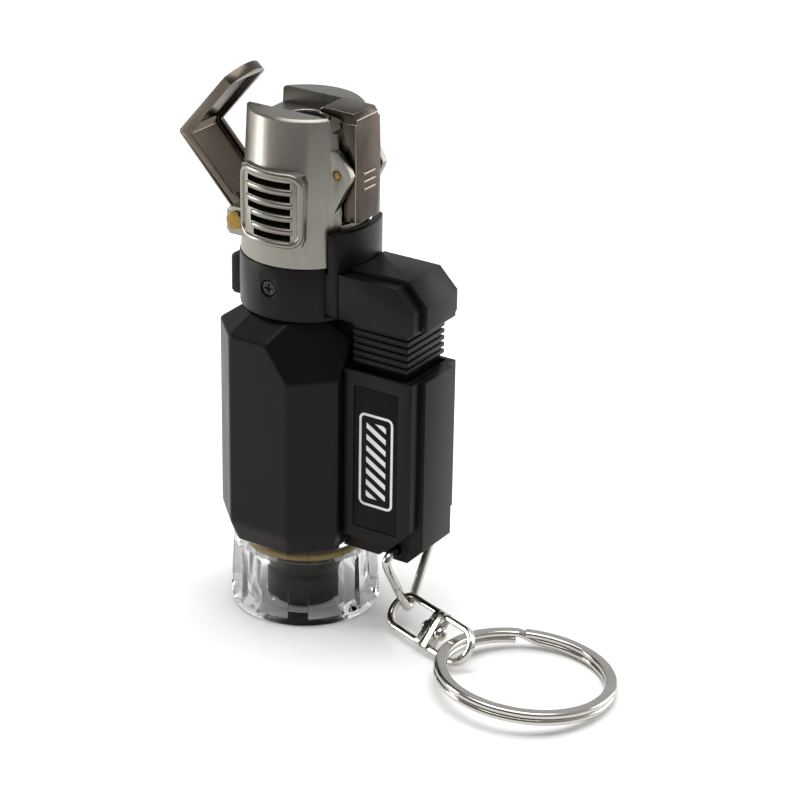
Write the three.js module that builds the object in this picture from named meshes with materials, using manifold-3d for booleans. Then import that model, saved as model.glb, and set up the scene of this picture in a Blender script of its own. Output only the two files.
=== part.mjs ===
// Pocket butane torch: a clear fluted fuel base, a black faceted housing with a grip block,
// a die-cast burner head with a flip lid and a release button, a sliding trigger that works
// the piezo igniter and the gas lever, and a split ring on a swivel.
// Millimetres, +Z up. The origin is the middle of the underside; +X points to the grip
// block and -Y to the label side.
import * as THREE from 'three';
import { mergeVertices } from 'three/addons/utils/BufferGeometryUtils.js';
import Module from 'manifold-3d';

const wasm = await Module();
wasm.setup();

// ---------------------------------------------------------------- driving dimensions
const GAP = 0.25;            // clearance between pieces that touch
const EPS = 0.5;             // how far a cutter runs past the face that it opens
const ROUND = 40;            // segments round a large cylinder
const FINE = 20;             // segments round a small one
const ACROSS = [-12, 12];    // a cutter that runs right across the burner head
const LOW = 50;              // below every upper piece, for cutters that start open
const HIGH = 90;             // above every piece, for cutters that end open

// clear base
const BASE_R = 11.9;         // radius at the foot
const BASE_TOP_R = 11.35;    // radius under the housing
const BASE_H = 12.75;        // height of the clear moulding
const BASE_BORE_R = 8.9;     // fuel space
const BASE_FLOOR = 1.4;      // thickness of the clear floor
const PILLARS = 8;           // upright pillars round the base
const PILLAR_HALF_DEG = 8.2; // half the angle that one pillar covers
const PILLAR_START_DEG = 28.5;
const FLUTE_R = 10.25;       // radius at the bottom of a flute
const FLUTE_LEDGE = 2.3;     // height where a flute starts
const FLUTE_TOP = 9.4;       // height where it ends
const CORE_R = 6.1;          // filler housing in the middle
const CORE_H = 8.4;
const SEAL_H = 2.0;          // amber seal ring
const SEAL_W = 1.15;

// octagonal housing
const OCT_HALF_Y = 13.0;     // half width across the label face
const OCT_HALF_X = 11.0;
const OCT_CORNER = 5.65;     // corner cut at 45 degrees
const HOUSE_BOTTOM = 13.0;
const HOUSE_TOP = 50.9;
const DRAWN_TOP = 50.9;      // housing top in the frame that the upper pieces are drawn in
const LIFT = HOUSE_TOP - DRAWN_TOP;
const FOOT_RISE = 3.6;       // foot chamfer: height and inset
const FOOT_INSET = 1.45;
const SHOULDER_RISE = 2.9;   // sloping shoulder: height and inset
const SHOULDER_INSET = 3.9;
const FACET_LOW = HOUSE_TOP - 8.3;      // height where the corner facet starts
const FACET_TILT = 27.4;     // degrees that the facet leans from upright
const TANK_BORE_R = 9.0;
const NECK_BORE_R = 6.2;
const DECK = 3.2;            // thickness under the collar

// gas lever
const LEVER_PIN = [6.6, 46.6];
const LEVER_PIN_R = 0.45;

// collar and riser
const COLLAR_R = 10.1;
const COLLAR_TOP = 59.6;
const COLLAR_BORE_R = 8.7;
const RISER_R = 11.55;
const RISER_HALF_Y = 6.1;
const RISER_X = 7.6;
const RISER_TOP = 65.4;
const RISER_BOTTOM = 52.2;
const RISER_WALL = 1.1;      // sides of the hollow riser
const RISER_FRONT = 1.6;     // its front wall
const LOCK_Z = [50.2, 56.9];  // thumb pad of the flame lock
const LOCK_X = 12.25;
const LOCK_HALF_Y = 2.7;
const LOCK_ROUND = 0.5;
const SCREW_Z = 56.0;
const SCREW_HEAD_R = 1.15;
const SCREW_LENGTH = COLLAR_R - COLLAR_BORE_R + 0.8;  // through the wall into the head

// burner head
const HEAD_TOP = 82.7;
const HEAD_FLOOR = 80.2;     // floor of the lid slot
const HEAD_LOW_R = 9.95;
const HEAD_TOP_R = 8.86;
const HEAD_WALL = 1.35;
const SLOT_HALF_Y = 4.75;    // slot that the lid closes into
const SLOT_X = -7.3;         // wall behind the closed lid arm
const SLOT_LOW = 61.0;
const BUTTON_HALF_Y = 3.35;
const BUTTON_SLOT_HALF_Y = BUTTON_HALF_Y + 0.3;
const BUTTON_SLOT_X = 7.0;
const BUTTON_SLOT_LOW = 66.0;
const CUP_HOLE_R = 3.75;
const FRAME_R = 10.2;        // vent frame
const FRAME_X = [-6.2, 5.5];
const FRAME_Z = [62.9, 74.8];
const FRAME_ROUND = 1.6;     // rounded corners of the frame
const VENT_X = [-4.2, 3.65];
const VENT_TOP_Z = 72.8;
const VENT_PITCH = 2.05;
const VENT_H = 1.05;
const VENTS = 5;

// lid
const LID_PIVOT = [-7.5, 64.8];
const LID_HALF_Y = 4.45;
const LID_REACH = 16.7;      // from the pivot to the corner, along the long arm
const LID_OFFSET = 2.15;     // from the pivot out to the back of the long arm
const LID_LEAN = 46.3;       // degrees that the open long arm falls below level
const LID_ANGLE = 95.5;      // angle between the arms
const LID_CAP = 15.2;        // length of the short arm at its middle
const LID_CAP_SIDE = 13.3;   // and at its sides
const LID_SKIN = 0.75;
const LID_DEPTH = 1.55;      // depth of its side flanges
const LID_FLANGE = 0.8;
const KNUCKLE_R = 1.75;
const HINGE_PIN_R = 1.0;
const HINGE_HEAD_R = 1.4;
const BOSS_X = [-9.1, -4.9];
const BOSS_Z = [62.4, 66.8];
const BOSS_Y = 7.9;

// button
const BUTTON_PIVOT = [8.8, 74.3];
const BUTTON_PIN_R = 0.65;
const EAR_Y = [BUTTON_HALF_Y + 0.4, BUTTON_HALF_Y + 1.55];

// trigger
const NOSE_X = 24.5;
const NOSE_HALF_Y = 4.0;
const CHEEK_HALF_Y = 6.15;
const CHEEK_INSET = 1.05;
const NOSE_TOP = 60.0;
const NOSE_BOTTOM = 52.4;
const NOSE_SLANT = 3.2;
const CHEEK_DROP = 0.8;
const STEM_X = [12.2, 21.5];
const STEM_HALF_Y = 4.75;
const STEM_BOTTOM = 40.4;
const RIBS = 6;
const RIB_PITCH = 1.12;
const RIB_OUT = 0.42;
const RISER_CLEAR = 0.3;

// grip block
const GRIP_TOP = HOUSE_TOP - 6.5;
const GRIP_X = 24.5;
const GRIP_CHEEK_BOTTOM = 16.4;
const GRIP_CHEEK_CUT = 3.3;
const GRIP_BOTTOM = 13.3;
const GRIP_FRONT_CUT = 2.75;
const GRIP_WALL = 1.0;
const GRIP_REAR_X = 9.3;
const LOOP_HOLE = [19.7, 15.1];
const LOOP_HOLE_R = 1.0;
const LABEL_X = [13.0, 20.95];
const LABEL_Z = [18.4, 42.1];
const LABEL_DEPTH = 0.4;

// key hardware
const WIRE_R = 0.7;
const LOOP_APEX_Z = 3.4;
const LOOP_HALF = 6.6;
const LINK_HALF = 2.75;      // half the distance between the legs of a swivel link
const LINK_WIRE_R = 0.62;
const LINK_LENGTH = 9.6;
const LOWER_LENGTH = 8.3;
const SWIVEL_START = [17.9, -1.1, 3.45];
const SWIVEL_YAW = -20;      // degrees that the swivel lies off the X axis
const UPPER_ROLL = 44;       // degrees that each link is turned about the swivel
const LOWER_ROLL = 52;
const RING_CENTRE = [44.95, -6.95];
const RING_TILT = 5.6;       // degrees, because the ring leans on the swivel
const RING_TILT_YAW = 55;    // turns the raised side towards the swivel and the label side
const RING_R = 14.0;
const RING_WIDTH = 1.9;
const RING_H = 2.1;

// ---------------------------------------------------------------- solid helpers
const rad = THREE.MathUtils.degToRad;

function solid(geometry) {
  let g = geometry.index ? geometry.toNonIndexed() : geometry.clone();
  g.deleteAttribute('normal');
  g.deleteAttribute('uv');
  g = mergeVertices(g, 1e-5);
  const points = g.attributes.position.array;
  const faces = dropSlivers(g.index.array);
  if (signedVolume(points, faces) < 0) flip(faces);
  return new wasm.Manifold(new wasm.Mesh({
    numProp: 3,
    vertProperties: new Float32Array(points),
    triVerts: faces,
  }));
}

function dropSlivers(index) {
  const kept = [];
  for (let i = 0; i < index.length; i += 3) {
    const [a, b, c] = [index[i], index[i + 1], index[i + 2]];
    if (a !== b && b !== c && a !== c) kept.push(a, b, c);
  }
  return new Uint32Array(kept);
}

function signedVolume(p, f) {
  let v = 0;
  for (let i = 0; i < f.length; i += 3) {
    const [a, b, c] = [f[i] * 3, f[i + 1] * 3, f[i + 2] * 3];
    v += p[a] * (p[b + 1] * p[c + 2] - p[b + 2] * p[c + 1])
      - p[a + 1] * (p[b] * p[c + 2] - p[b + 2] * p[c])
      + p[a + 2] * (p[b] * p[c + 1] - p[b + 1] * p[c]);
  }
  return v / 6;
}

function flip(faces) {
  for (let i = 0; i < faces.length; i += 3) {
    [faces[i + 1], faces[i + 2]] = [faces[i + 2], faces[i + 1]];
  }
}

function geometryOf(body) {
  const mesh = body.getMesh();
  const g = new THREE.BufferGeometry();
  const stride = mesh.numProp;
  const count = mesh.vertProperties.length / stride;
  const points = new Float32Array(count * 3);
  for (let i = 0; i < count; i += 1) {
    for (let k = 0; k < 3; k += 1) points[i * 3 + k] = mesh.vertProperties[i * stride + k];
  }
  g.setAttribute('position', new THREE.BufferAttribute(points, 3));
  g.setIndex(new THREE.BufferAttribute(new Uint32Array(mesh.triVerts), 1));
  const flat = g.toNonIndexed();
  flat.computeVertexNormals();
  return flat;
}

function box([x0, x1], [y0, y1], [z0, z1]) {
  const g = new THREE.BoxGeometry(x1 - x0, y1 - y0, z1 - z0);
  g.translate((x0 + x1) / 2, (y0 + y1) / 2, (z0 + z1) / 2);
  return solid(g);
}

function outline(points) {
  return new THREE.Shape(points.map(([a, b]) => new THREE.Vector2(a, b)));
}

// a closed outline in X and Z, carried along Y from y0 to y1
function alongY(points, [y0, y1]) {
  const g = new THREE.ExtrudeGeometry(outline(points), { depth: y1 - y0, bevelEnabled: false });
  g.rotateX(Math.PI / 2);
  g.translate(0, y1, 0);
  return solid(g);
}

// a closed outline in X and Y, carried up from z0 to z1
function alongZ(points, [z0, z1]) {
  const g = new THREE.ExtrudeGeometry(outline(points), { depth: z1 - z0, bevelEnabled: false });
  g.translate(0, 0, z0);
  return solid(g);
}

// a profile of [radius, z] pairs turned about the Z axis through [x, y]
function turned(profile, segments = ROUND, [x, y] = [0, 0]) {
  const g = new THREE.LatheGeometry(profile.map(([r, z]) => new THREE.Vector2(r, z)), segments);
  g.rotateX(Math.PI / 2);
  g.translate(x, y, 0);
  return solid(g);
}

function cylinder(r, [z0, z1], segments = ROUND, centre = [0, 0]) {
  return turned([[0, z0], [r, z0], [r, z1], [0, z1]], segments, centre);
}

function pipe(outer, inner, [z0, z1], segments = ROUND, centre = [0, 0]) {
  return turned([[inner, z0], [outer, z0], [outer, z1], [inner, z1], [inner, z0]],
    segments, centre);
}

// a round bar along Y through [x, z]
function barY(r, [y0, y1], [x, z], segments = FINE) {
  const g = new THREE.CylinderGeometry(r, r, y1 - y0, segments);
  g.translate(x, (y0 + y1) / 2, z);
  return solid(g);
}

// a round wire along a smooth curve through the points
function wire(points, r, steps, sides = 8) {
  const path = new THREE.CatmullRomCurve3(points.map((p) => new THREE.Vector3(...p)));
  const section = new THREE.Shape();
  section.absarc(0, 0, r, 0, Math.PI * 2, false);
  return solid(new THREE.ExtrudeGeometry(section, {
    steps, extrudePath: path, curveSegments: sides / 2, bevelEnabled: false,
  }));
}

function coil(r, wireR, turns, [z0, z1], [x, y]) {
  const points = [];
  const perTurn = 9;
  for (let i = 0; i <= turns * perTurn; i += 1) {
    const t = i / (turns * perTurn);
    const a = t * turns * Math.PI * 2;
    points.push([x + r * Math.cos(a), y + r * Math.sin(a), z0 + (z1 - z0) * t]);
  }
  return wire(points, wireR, turns * perTurn, 6);
}

// ---------------------------------------------------------------- colours and the group
const FINISH = {
  black: { color: 0x1f1c1b, roughness: 0.42, metalness: 0 },
  satin: { color: 0xa09c94, roughness: 0.38, metalness: 1 },
  gunmetal: { color: 0x6f655c, roughness: 0.22, metalness: 1 },
  brass: { color: 0xb08a3c, roughness: 0.3, metalness: 1 },
  nickel: { color: 0xc8c4bc, roughness: 0.16, metalness: 1 },
  clear: { color: 0xe6ebe8, roughness: 0.08, metalness: 0 },
  amber: { color: 0xa88a4a, roughness: 0.4, metalness: 0 },
  grey: { color: 0x4c4b49, roughness: 0.5, metalness: 0 },
  steel: { color: 0x9a9a9a, roughness: 0.35, metalness: 1 },
  ceramic: { color: 0xe8e4da, roughness: 0.35, metalness: 0 },
  rubber: { color: 0x191919, roughness: 0.7, metalness: 0 },
  label: { color: 0x151414, roughness: 0.3, metalness: 0 },
};

const torch = new THREE.Group();

// a piece drawn in the upper frame, moved up with the housing's top
function placeUpper(name, body, finish) {
  place(name, body.translate([0, 0, LIFT]), finish);
}

function place(name, body, finish) {
  const mesh = new THREE.Mesh(geometryOf(body), new THREE.MeshStandardMaterial(FINISH[finish]));
  mesh.name = name;
  torch.add(mesh);
}

// ---------------------------------------------------------------- clear base
const SEAT_R = BASE_TOP_R - 0.7;         // rebate that holds the seal ring
const SEAT_Z = BASE_H - SEAL_H - GAP;

function makeClearBase() {
  const rim = 0.5;
  const shell = turned([
    [CORE_R + GAP, 0], [BASE_R - rim, 0], [BASE_R, rim], [BASE_TOP_R, BASE_H],
    [SEAT_R, BASE_H], [SEAT_R, SEAT_Z], [BASE_BORE_R, SEAT_Z], [BASE_BORE_R, BASE_FLOOR],
    [CORE_R + GAP, BASE_FLOOR], [CORE_R + GAP, 0],
  ]);
  return shell.subtract(makeFlutes());
}

// a ring of pockets with sloping ledges, interrupted by the pillars
function makeFlutes() {
  const out = BASE_R + 1;
  const ledge = out - FLUTE_R;
  let ring = turned([
    [FLUTE_R, FLUTE_LEDGE], [out, FLUTE_LEDGE - ledge], [out, FLUTE_TOP + ledge],
    [FLUTE_R, FLUTE_TOP], [FLUTE_R, FLUTE_LEDGE],
  ]);
  const half = out * Math.tan(rad(PILLAR_HALF_DEG));
  for (let i = 0; i < PILLARS; i += 1) {
    const pillar = box([BASE_BORE_R, out + EPS], [-half, half], [-ledge, BASE_H])
      .rotate([0, 0, PILLAR_START_DEG + (i * 360) / PILLARS]);
    ring = ring.subtract(pillar);
  }
  return ring;
}

const SCREW_CUP_R = 3.1;     // recess for the filler under the core
const SCREW_CUP_Z = 4.6;
place('clear_base', makeClearBase(), 'clear');
place('filler_core', turned([
  [0, SCREW_CUP_Z], [SCREW_CUP_R, SCREW_CUP_Z], [SCREW_CUP_R, 0.3], [CORE_R, 0.3],
  [CORE_R, CORE_H - 3.2], [CORE_R - 0.7, CORE_H - 2.6], [CORE_R - 0.7, CORE_H], [0, CORE_H],
]), 'grey');
place('seal_ring', pipe(SEAT_R - GAP / 2, SEAT_R - SEAL_W, [SEAT_Z + GAP / 2, BASE_H - GAP / 2]),
  'amber');
place('fill_valve', turned([
  [0, 1.6], [0.45, 1.6], [0.45, 0.7], [1.1, 0.5], [1.3, 0.9], [1.3, SCREW_CUP_Z - GAP],
  [0, SCREW_CUP_Z - GAP],
], FINE), 'brass');
const ADJUSTER_R = SCREW_CUP_R - GAP;
place('flame_adjuster', pipe(ADJUSTER_R, 1.3 + GAP, [0.6, 2.0], 28)
  .subtract(box([-0.4, 0.4], [1.9, ADJUSTER_R + EPS], [0, 1.3])), 'steel');

// ---------------------------------------------------------------- faceted housing
function octagon(inset) {
  const x = OCT_HALF_X - inset;
  const y = OCT_HALF_Y - inset;
  const c = OCT_CORNER - inset * (2 - Math.SQRT2);
  return [[-x, -y + c], [-x + c, -y], [x - c, -y], [x, -y + c],
    [x, y - c], [x - c, y], [-x + c, y], [-x, y - c]];
}

// a block between two octagons at different heights
function octagonLoft([zLow, insetLow], [zHigh, insetHigh]) {
  const low = octagon(insetLow);
  const high = octagon(insetHigh);
  const points = [...low.map((p) => [...p, zLow]), ...high.map((p) => [...p, zHigh])];
  const n = low.length;
  const faces = [];
  for (let i = 0; i < n; i += 1) {
    const j = (i + 1) % n;
    faces.push(i, j, n + j, i, n + j, n + i);
    if (i > 0 && i < n - 1) faces.push(0, i + 1, i, n, n + i, n + i + 1);
  }
  const g = new THREE.BufferGeometry();
  g.setAttribute('position', new THREE.BufferAttribute(new Float32Array(points.flat()), 3));
  g.setIndex(faces);
  return solid(g);
}

function octagonBody(grow) {
  const foot = HOUSE_BOTTOM + FOOT_RISE;
  const shoulder = HOUSE_TOP - SHOULDER_RISE;
  const low = octagonLoft([HOUSE_BOTTOM - grow, FOOT_INSET - grow], [foot, -grow]);
  const mid = octagonLoft([foot, -grow], [shoulder, -grow]);
  const top = octagonLoft([shoulder, -grow], [HOUSE_TOP + grow, SHOULDER_INSET - grow]);
  return low.add(mid).add(top).subtract(facetCutter(1, grow)).subtract(facetCutter(-1, grow));
}

// a leaning block that cuts the upper corner towards the grip, on one side
function facetCutter(side, grow) {
  const size = 30;
  const corner = (OCT_HALF_X + OCT_HALF_Y - OCT_CORNER) / Math.SQRT2 + grow;
  return box([0, size], [-size, size], [0, size])
    .rotate([0, -FACET_TILT, 0])
    .translate([corner, 0, FACET_LOW])
    .rotate([0, 0, side * 45]);
}

const BODY = octagonBody(0);
const TANK_DROP = 10.9;      // from the housing's top down to the tank's
const TANK_TOP = HOUSE_TOP - TANK_DROP;
const housing = BODY
  .subtract(cylinder(TANK_BORE_R, [HOUSE_BOTTOM - EPS, HOUSE_TOP - DECK - 1.2]))
  .subtract(cylinder(NECK_BORE_R, [HOUSE_TOP - DECK - 2, HOUSE_TOP + EPS]))
  .subtract(box([NECK_BORE_R - 1, OCT_HALF_X + 1], [-2.2, 2.2], [HOUSE_TOP - 8.9, HOUSE_TOP - 1.6]))
  .subtract(barY(LEVER_PIN_R + 0.1, [-3.3, 3.3], LEVER_PIN, 12).translate([0, 0, LIFT]));
place('tank_housing', housing, 'black');

place('fuel_tank', turned([
  [TANK_BORE_R - GAP - 1, HOUSE_BOTTOM + 0.2], [TANK_BORE_R - GAP, HOUSE_BOTTOM + 0.2],
  [TANK_BORE_R - GAP, TANK_TOP], [2.2, TANK_TOP], [2.2, TANK_TOP - 1.2],
  [TANK_BORE_R - GAP - 1, TANK_TOP - 1.2], [TANK_BORE_R - GAP - 1, HOUSE_BOTTOM + 0.2],
], 32), 'grey');

// ---------------------------------------------------------------- collar, riser, screws
const SCREW_BORE_R = 0.75;
function screwHoles(body) {
  const cut = barY(SCREW_BORE_R, [-COLLAR_R - EPS, COLLAR_R + EPS], [0, SCREW_Z], 16);
  const sink = barY(SCREW_HEAD_R + 0.2, [-COLLAR_R - EPS, -COLLAR_R + 1.0], [0, SCREW_Z]);
  const sinkFar = barY(SCREW_HEAD_R + 0.2, [COLLAR_R - 1.0, COLLAR_R + EPS], [0, SCREW_Z]);
  return body.subtract(cut).subtract(sink).subtract(sinkFar);
}

const collarRing = pipe(COLLAR_R, COLLAR_BORE_R, [DRAWN_TOP + GAP, COLLAR_TOP]);
const STALK_HALF_Y = 0.85;   // stalk of the flame lock
const TAB_SLOT = box([-COLLAR_R - 1, -COLLAR_BORE_R + 1],
  [-STALK_HALF_Y - GAP, STALK_HALF_Y + GAP], [LOCK_Z[0] + 2.9, COLLAR_TOP - 0.6]);
placeUpper('collar', screwHoles(collarRing).subtract(TAB_SLOT)
  .subtract(box([RISER_X - GAP, 12], [-RISER_HALF_Y - GAP, RISER_HALF_Y + GAP],
    [RISER_BOTTOM - 0.2, COLLAR_TOP + 1])),
'black');

function makeRiser() {
  const slab = box([RISER_X, RISER_R + 1], [-RISER_HALF_Y, RISER_HALF_Y], [RISER_BOTTOM, RISER_TOP]);
  const inner = box([RISER_X - 1, RISER_R - RISER_FRONT],
    [-RISER_HALF_Y + RISER_WALL, RISER_HALF_Y - RISER_WALL],
    [LOW, COLLAR_TOP - 1]);
  const clearHead = cylinder(HEAD_LOW_R + GAP, [COLLAR_TOP - EPS, RISER_TOP + 1]);
  return slab.intersect(cylinder(RISER_R, [LOW, RISER_TOP + 1])).subtract(inner)
    .subtract(clearHead).subtract(cylinder(COLLAR_BORE_R, [LOW, COLLAR_TOP]));
}
placeUpper('trigger_guide', makeRiser(), 'black');

const SCREW_SUNK = 0.25;     // head below the collar's face
const SCREW_HEAD_H = 0.6;
const CROSS_HALF = 0.75;     // cross slot: half length, half width and depth
const CROSS_HALF_W = 0.16;
const CROSS_DEPTH = 0.35;
// a cross-slotted screw whose head faces along -Y (side -1) or +Y (side 1)
function makeScrew(side) {
  const face = side * (COLLAR_R - SCREW_SUNK);
  const neck = side * (COLLAR_R - SCREW_SUNK - SCREW_HEAD_H);
  const end = side * (COLLAR_R - SCREW_SUNK - SCREW_LENGTH);
  const span = (a, b) => [Math.min(a, b), Math.max(a, b)];
  const slot = span(face + side * EPS, face - side * CROSS_DEPTH);
  return barY(SCREW_HEAD_R, span(face, neck), [0, SCREW_Z])
    .add(barY(SCREW_BORE_R - 0.12, span(neck + side * 0.1, end), [0, SCREW_Z], 12))
    .subtract(box([-CROSS_HALF, CROSS_HALF], slot,
      [SCREW_Z - CROSS_HALF_W, SCREW_Z + CROSS_HALF_W]))
    .subtract(box([-CROSS_HALF_W, CROSS_HALF_W], slot,
      [SCREW_Z - CROSS_HALF, SCREW_Z + CROSS_HALF]));
}
placeUpper('collar_screw_near', makeScrew(-1), 'steel');
placeUpper('collar_screw_far', makeScrew(1), 'steel');

// flame lock: a thumb pad outside the collar on a stalk through its slot
const [padLow, padHigh] = LOCK_Z;
const lockPad = alongY([[-LOCK_X, padLow + LOCK_ROUND], [-LOCK_X + LOCK_ROUND, padLow],
  [-COLLAR_R - 0.3, padLow], [-COLLAR_R - 0.3, padHigh], [-LOCK_X + LOCK_ROUND, padHigh],
  [-LOCK_X, padHigh - LOCK_ROUND]], [-LOCK_HALF_Y, LOCK_HALF_Y]);
const lockStalk = box([-COLLAR_R - 1, -COLLAR_BORE_R - 0.1], [-STALK_HALF_Y, STALK_HALF_Y],
  [padLow + 3.2, padLow + 5.4]);
placeUpper('flame_lock', lockPad.add(lockStalk), 'black');

// ---------------------------------------------------------------- burner head
const SPIGOT_LOW = 52.5;     // foot of the spigot inside the collar
const SPIGOT_WALL = 1.0;
const CROWN_CUT = 0.35;      // small chamfer round the top
const CONE_START = 62;       // where the bore starts to follow the taper
const headRadius = (z) => HEAD_LOW_R
  + ((HEAD_TOP_R - HEAD_LOW_R) * (z - COLLAR_TOP)) / (HEAD_TOP - COLLAR_TOP);

function makeHead() {
  const spigotR = COLLAR_BORE_R - GAP;
  const crown = HEAD_TOP - CROWN_CUT;
  let body = turned([
    [0, SPIGOT_LOW], [spigotR, SPIGOT_LOW], [spigotR, COLLAR_TOP + 0.15], [HEAD_LOW_R, COLLAR_TOP + 0.15],
    [headRadius(crown), crown], [HEAD_TOP_R - CROWN_CUT, HEAD_TOP], [0, HEAD_TOP],
  ], 48);
  body = body.add(ventFrame()).add(hingeBosses()).add(buttonEars());
  const roof = HEAD_FLOOR - HEAD_WALL;
  const bore = turned([[0, LOW], [spigotR - SPIGOT_WALL, LOW], [spigotR - SPIGOT_WALL, CONE_START - 2],
    [headRadius(CONE_START) - HEAD_WALL, CONE_START], [headRadius(roof) - HEAD_WALL, roof], [0, roof]], 32);
  const inside = bore
    .subtract(box([-12, SLOT_X + 1.1], [-SLOT_HALF_Y - 1, SLOT_HALF_Y + 1], [SLOT_LOW - 1.4, HIGH]))
    .subtract(box([-12, SLOT_X + 3.1], [-SLOT_HALF_Y - 1, SLOT_HALF_Y + 1], [SLOT_LOW - 1.4, 68]))
    .subtract(box([BUTTON_SLOT_X - 1.1, 12], [-BUTTON_SLOT_HALF_Y - 1, BUTTON_SLOT_HALF_Y + 1],
      [BUTTON_SLOT_LOW - 1.2, HIGH]));
  body = body.subtract(inside)
    .subtract(box([-20, 20], [-SLOT_HALF_Y, SLOT_HALF_Y], [HEAD_FLOOR, HIGH]))
    .subtract(box([-20, SLOT_X], [-SLOT_HALF_Y, SLOT_HALF_Y], [SLOT_LOW, HIGH]))
    .subtract(box([BUTTON_SLOT_X, 20], [-BUTTON_SLOT_HALF_Y, BUTTON_SLOT_HALF_Y],
      [BUTTON_SLOT_LOW, HIGH]))
    .subtract(cylinder(CUP_HOLE_R, [70, 90], 32))
    .subtract(barY(KNUCKLE_R + 0.3, [-SLOT_HALF_Y, SLOT_HALF_Y], LID_PIVOT, 24))
    .subtract(barY(HINGE_PIN_R + 0.1, ACROSS, LID_PIVOT))
    .subtract(barY(BUTTON_PIN_R + 0.1, ACROSS, BUTTON_PIVOT, 16));
  for (let i = 0; i < VENTS; i += 1) {
    const z = VENT_TOP_Z - i * VENT_PITCH;
    const shorten = Math.max(0, i - 2) * 0.7;
    body = body.subtract(box([VENT_X[0] + shorten, VENT_X[1]], [-12, -5],
      [z - VENT_H / 2, z + VENT_H / 2]));
  }
  const screwTaps = barY(SCREW_BORE_R, ACROSS, [0, SCREW_Z], 16);
  const guideNotch = box([RISER_X - 0.4, 12], [-RISER_HALF_Y - 0.3, RISER_HALF_Y + 0.3],
    [LOW, COLLAR_TOP + 0.1]);
  const lockNotch = box([-12, -5], [-1.3, 1.3], [LOW, COLLAR_TOP - 0.3]);
  return body.subtract(screwTaps).subtract(guideNotch).subtract(lockNotch);
}

function ventFrame() {
  const c = FRAME_ROUND;
  const d = FRAME_ROUND / 4;
  const [x0, x1] = FRAME_X;
  const [z0, z1] = FRAME_Z;
  const rounded = [[x0 + c, z0], [x1 - c, z0], [x1 - d, z0 + d], [x1, z0 + c],
    [x1, z1 - c], [x1 - d, z1 - d], [x1 - c, z1], [x0 + c, z1], [x0 + d, z1 - d],
    [x0, z1 - c], [x0, z0 + c], [x0 + d, z0 + d]];
  return alongY(rounded, [-12, -4]).intersect(cylinder(FRAME_R, [60, 80], 48))
    .subtract(barY(HINGE_HEAD_R + 0.7, [-12, -BOSS_Y + 0.3], LID_PIVOT, 24));
}

function hingeBosses() {
  const [x0, x1] = BOSS_X;
  const [z0, z1] = BOSS_Z;
  const c = 0.6;
  const face = [[x0 + c, z0], [x1, z0], [x1, z1], [x0 + c, z1], [x0, z1 - c], [x0, z0 + c]];
  return alongY(face, [-BOSS_Y, -SLOT_HALF_Y - 0.02])
    .add(alongY(face, [SLOT_HALF_Y + 0.02, BOSS_Y]));
}

function buttonEars() {
  const [px, pz] = BUTTON_PIVOT;
  const face = [[px - 2.8, pz - 4.3], [px - 0.4, pz - 6.0], [px + 2.2, pz - 0.9],
    [px + 2.5, pz + 0.1], [px + 2.1, pz + 1.0], [px + 0.4, pz + 3.2], [px - 0.3, pz + 3.5],
    [px - 2.8, pz + 3.4]];
  return alongY(face, [-EAR_Y[1], -EAR_Y[0]]).add(alongY(face, [EAR_Y[0], EAR_Y[1]]));
}

placeUpper('burner_head', makeHead(), 'satin');

// ---------------------------------------------------------------- lid and its hinge
// the lid is drawn in its open position: u runs from the corner along an arm and v is the
// depth towards the inside of the angle
const [pivotX, pivotZ] = LID_PIVOT;
const armDown = [Math.cos(rad(LID_LEAN)), -Math.sin(rad(LID_LEAN))];
const armIn = [Math.sin(rad(LID_LEAN)), Math.cos(rad(LID_LEAN))];
const corner = [
  pivotX - armDown[0] * LID_REACH - armIn[0] * LID_OFFSET,
  pivotZ - armDown[1] * LID_REACH - armIn[1] * LID_OFFSET,
];
const capRise = LID_ANGLE - LID_LEAN;
const capUp = [Math.cos(rad(capRise)), Math.sin(rad(capRise))];
const capIn = [Math.sin(rad(capRise)), -Math.cos(rad(capRise))];
const onArm = (u, v) => [corner[0] + armDown[0] * u + armIn[0] * v,
  corner[1] + armDown[1] * u + armIn[1] * v];
const onCap = (u, v) => [corner[0] + capUp[0] * u + capIn[0] * v,
  corner[1] + capUp[1] * u + capIn[1] * v];

// the L-shaped section of a wall of depth v, with the inner corner where the arms meet
function lidSection(depth, armLength, capLength) {
  const inner = depth / Math.tan(rad(LID_ANGLE / 2));
  const nose = 0.35;
  return [onArm(nose, 0), onArm(armLength, 0), onArm(armLength, depth), onArm(inner, depth),
    onCap(capLength, depth), onCap(capLength, 0), onCap(nose, 0)];
}

function makeLid() {
  const armLength = LID_REACH - 2.3;
  const y = [-LID_HALF_Y, LID_HALF_Y];
  let body = alongY(lidSection(LID_DEPTH, armLength, LID_CAP), y)
    .subtract(alongY(lidHollow(armLength), [-LID_HALF_Y + LID_FLANGE, LID_HALF_Y - LID_FLANGE]));
  const lug = alongY([onArm(armLength - 1.5, 0.3), onArm(armLength + 1.2, 0.3),
    onArm(LID_REACH, LID_OFFSET), onArm(armLength - 1.5, LID_OFFSET)], y);
  const knuckle = barY(KNUCKLE_R, y, LID_PIVOT, 24);
  body = body.add(lug.add(knuckle).subtract(box([-30, 20],
    [-LID_HALF_Y + 1.6, LID_HALF_Y - 1.6], [LOW, HIGH])));
  body = body.subtract(barY(HINGE_PIN_R + 0.15, [-8, 8], LID_PIVOT));
  return body.intersect(capOutline());
}

function lidHollow(armLength) {
  const d = LID_DEPTH + 1;
  const k = 1 / Math.tan(rad(LID_ANGLE / 2));
  return [onArm(LID_SKIN * k + 0.8, LID_SKIN), onArm(armLength - 0.9, LID_SKIN),
    onArm(armLength - 0.9, d), onArm(d * k, d), onCap(LID_CAP - 1.6, d),
    onCap(LID_CAP - 1.6, LID_SKIN), onCap(LID_SKIN * k + 0.8, LID_SKIN)];
}

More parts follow.
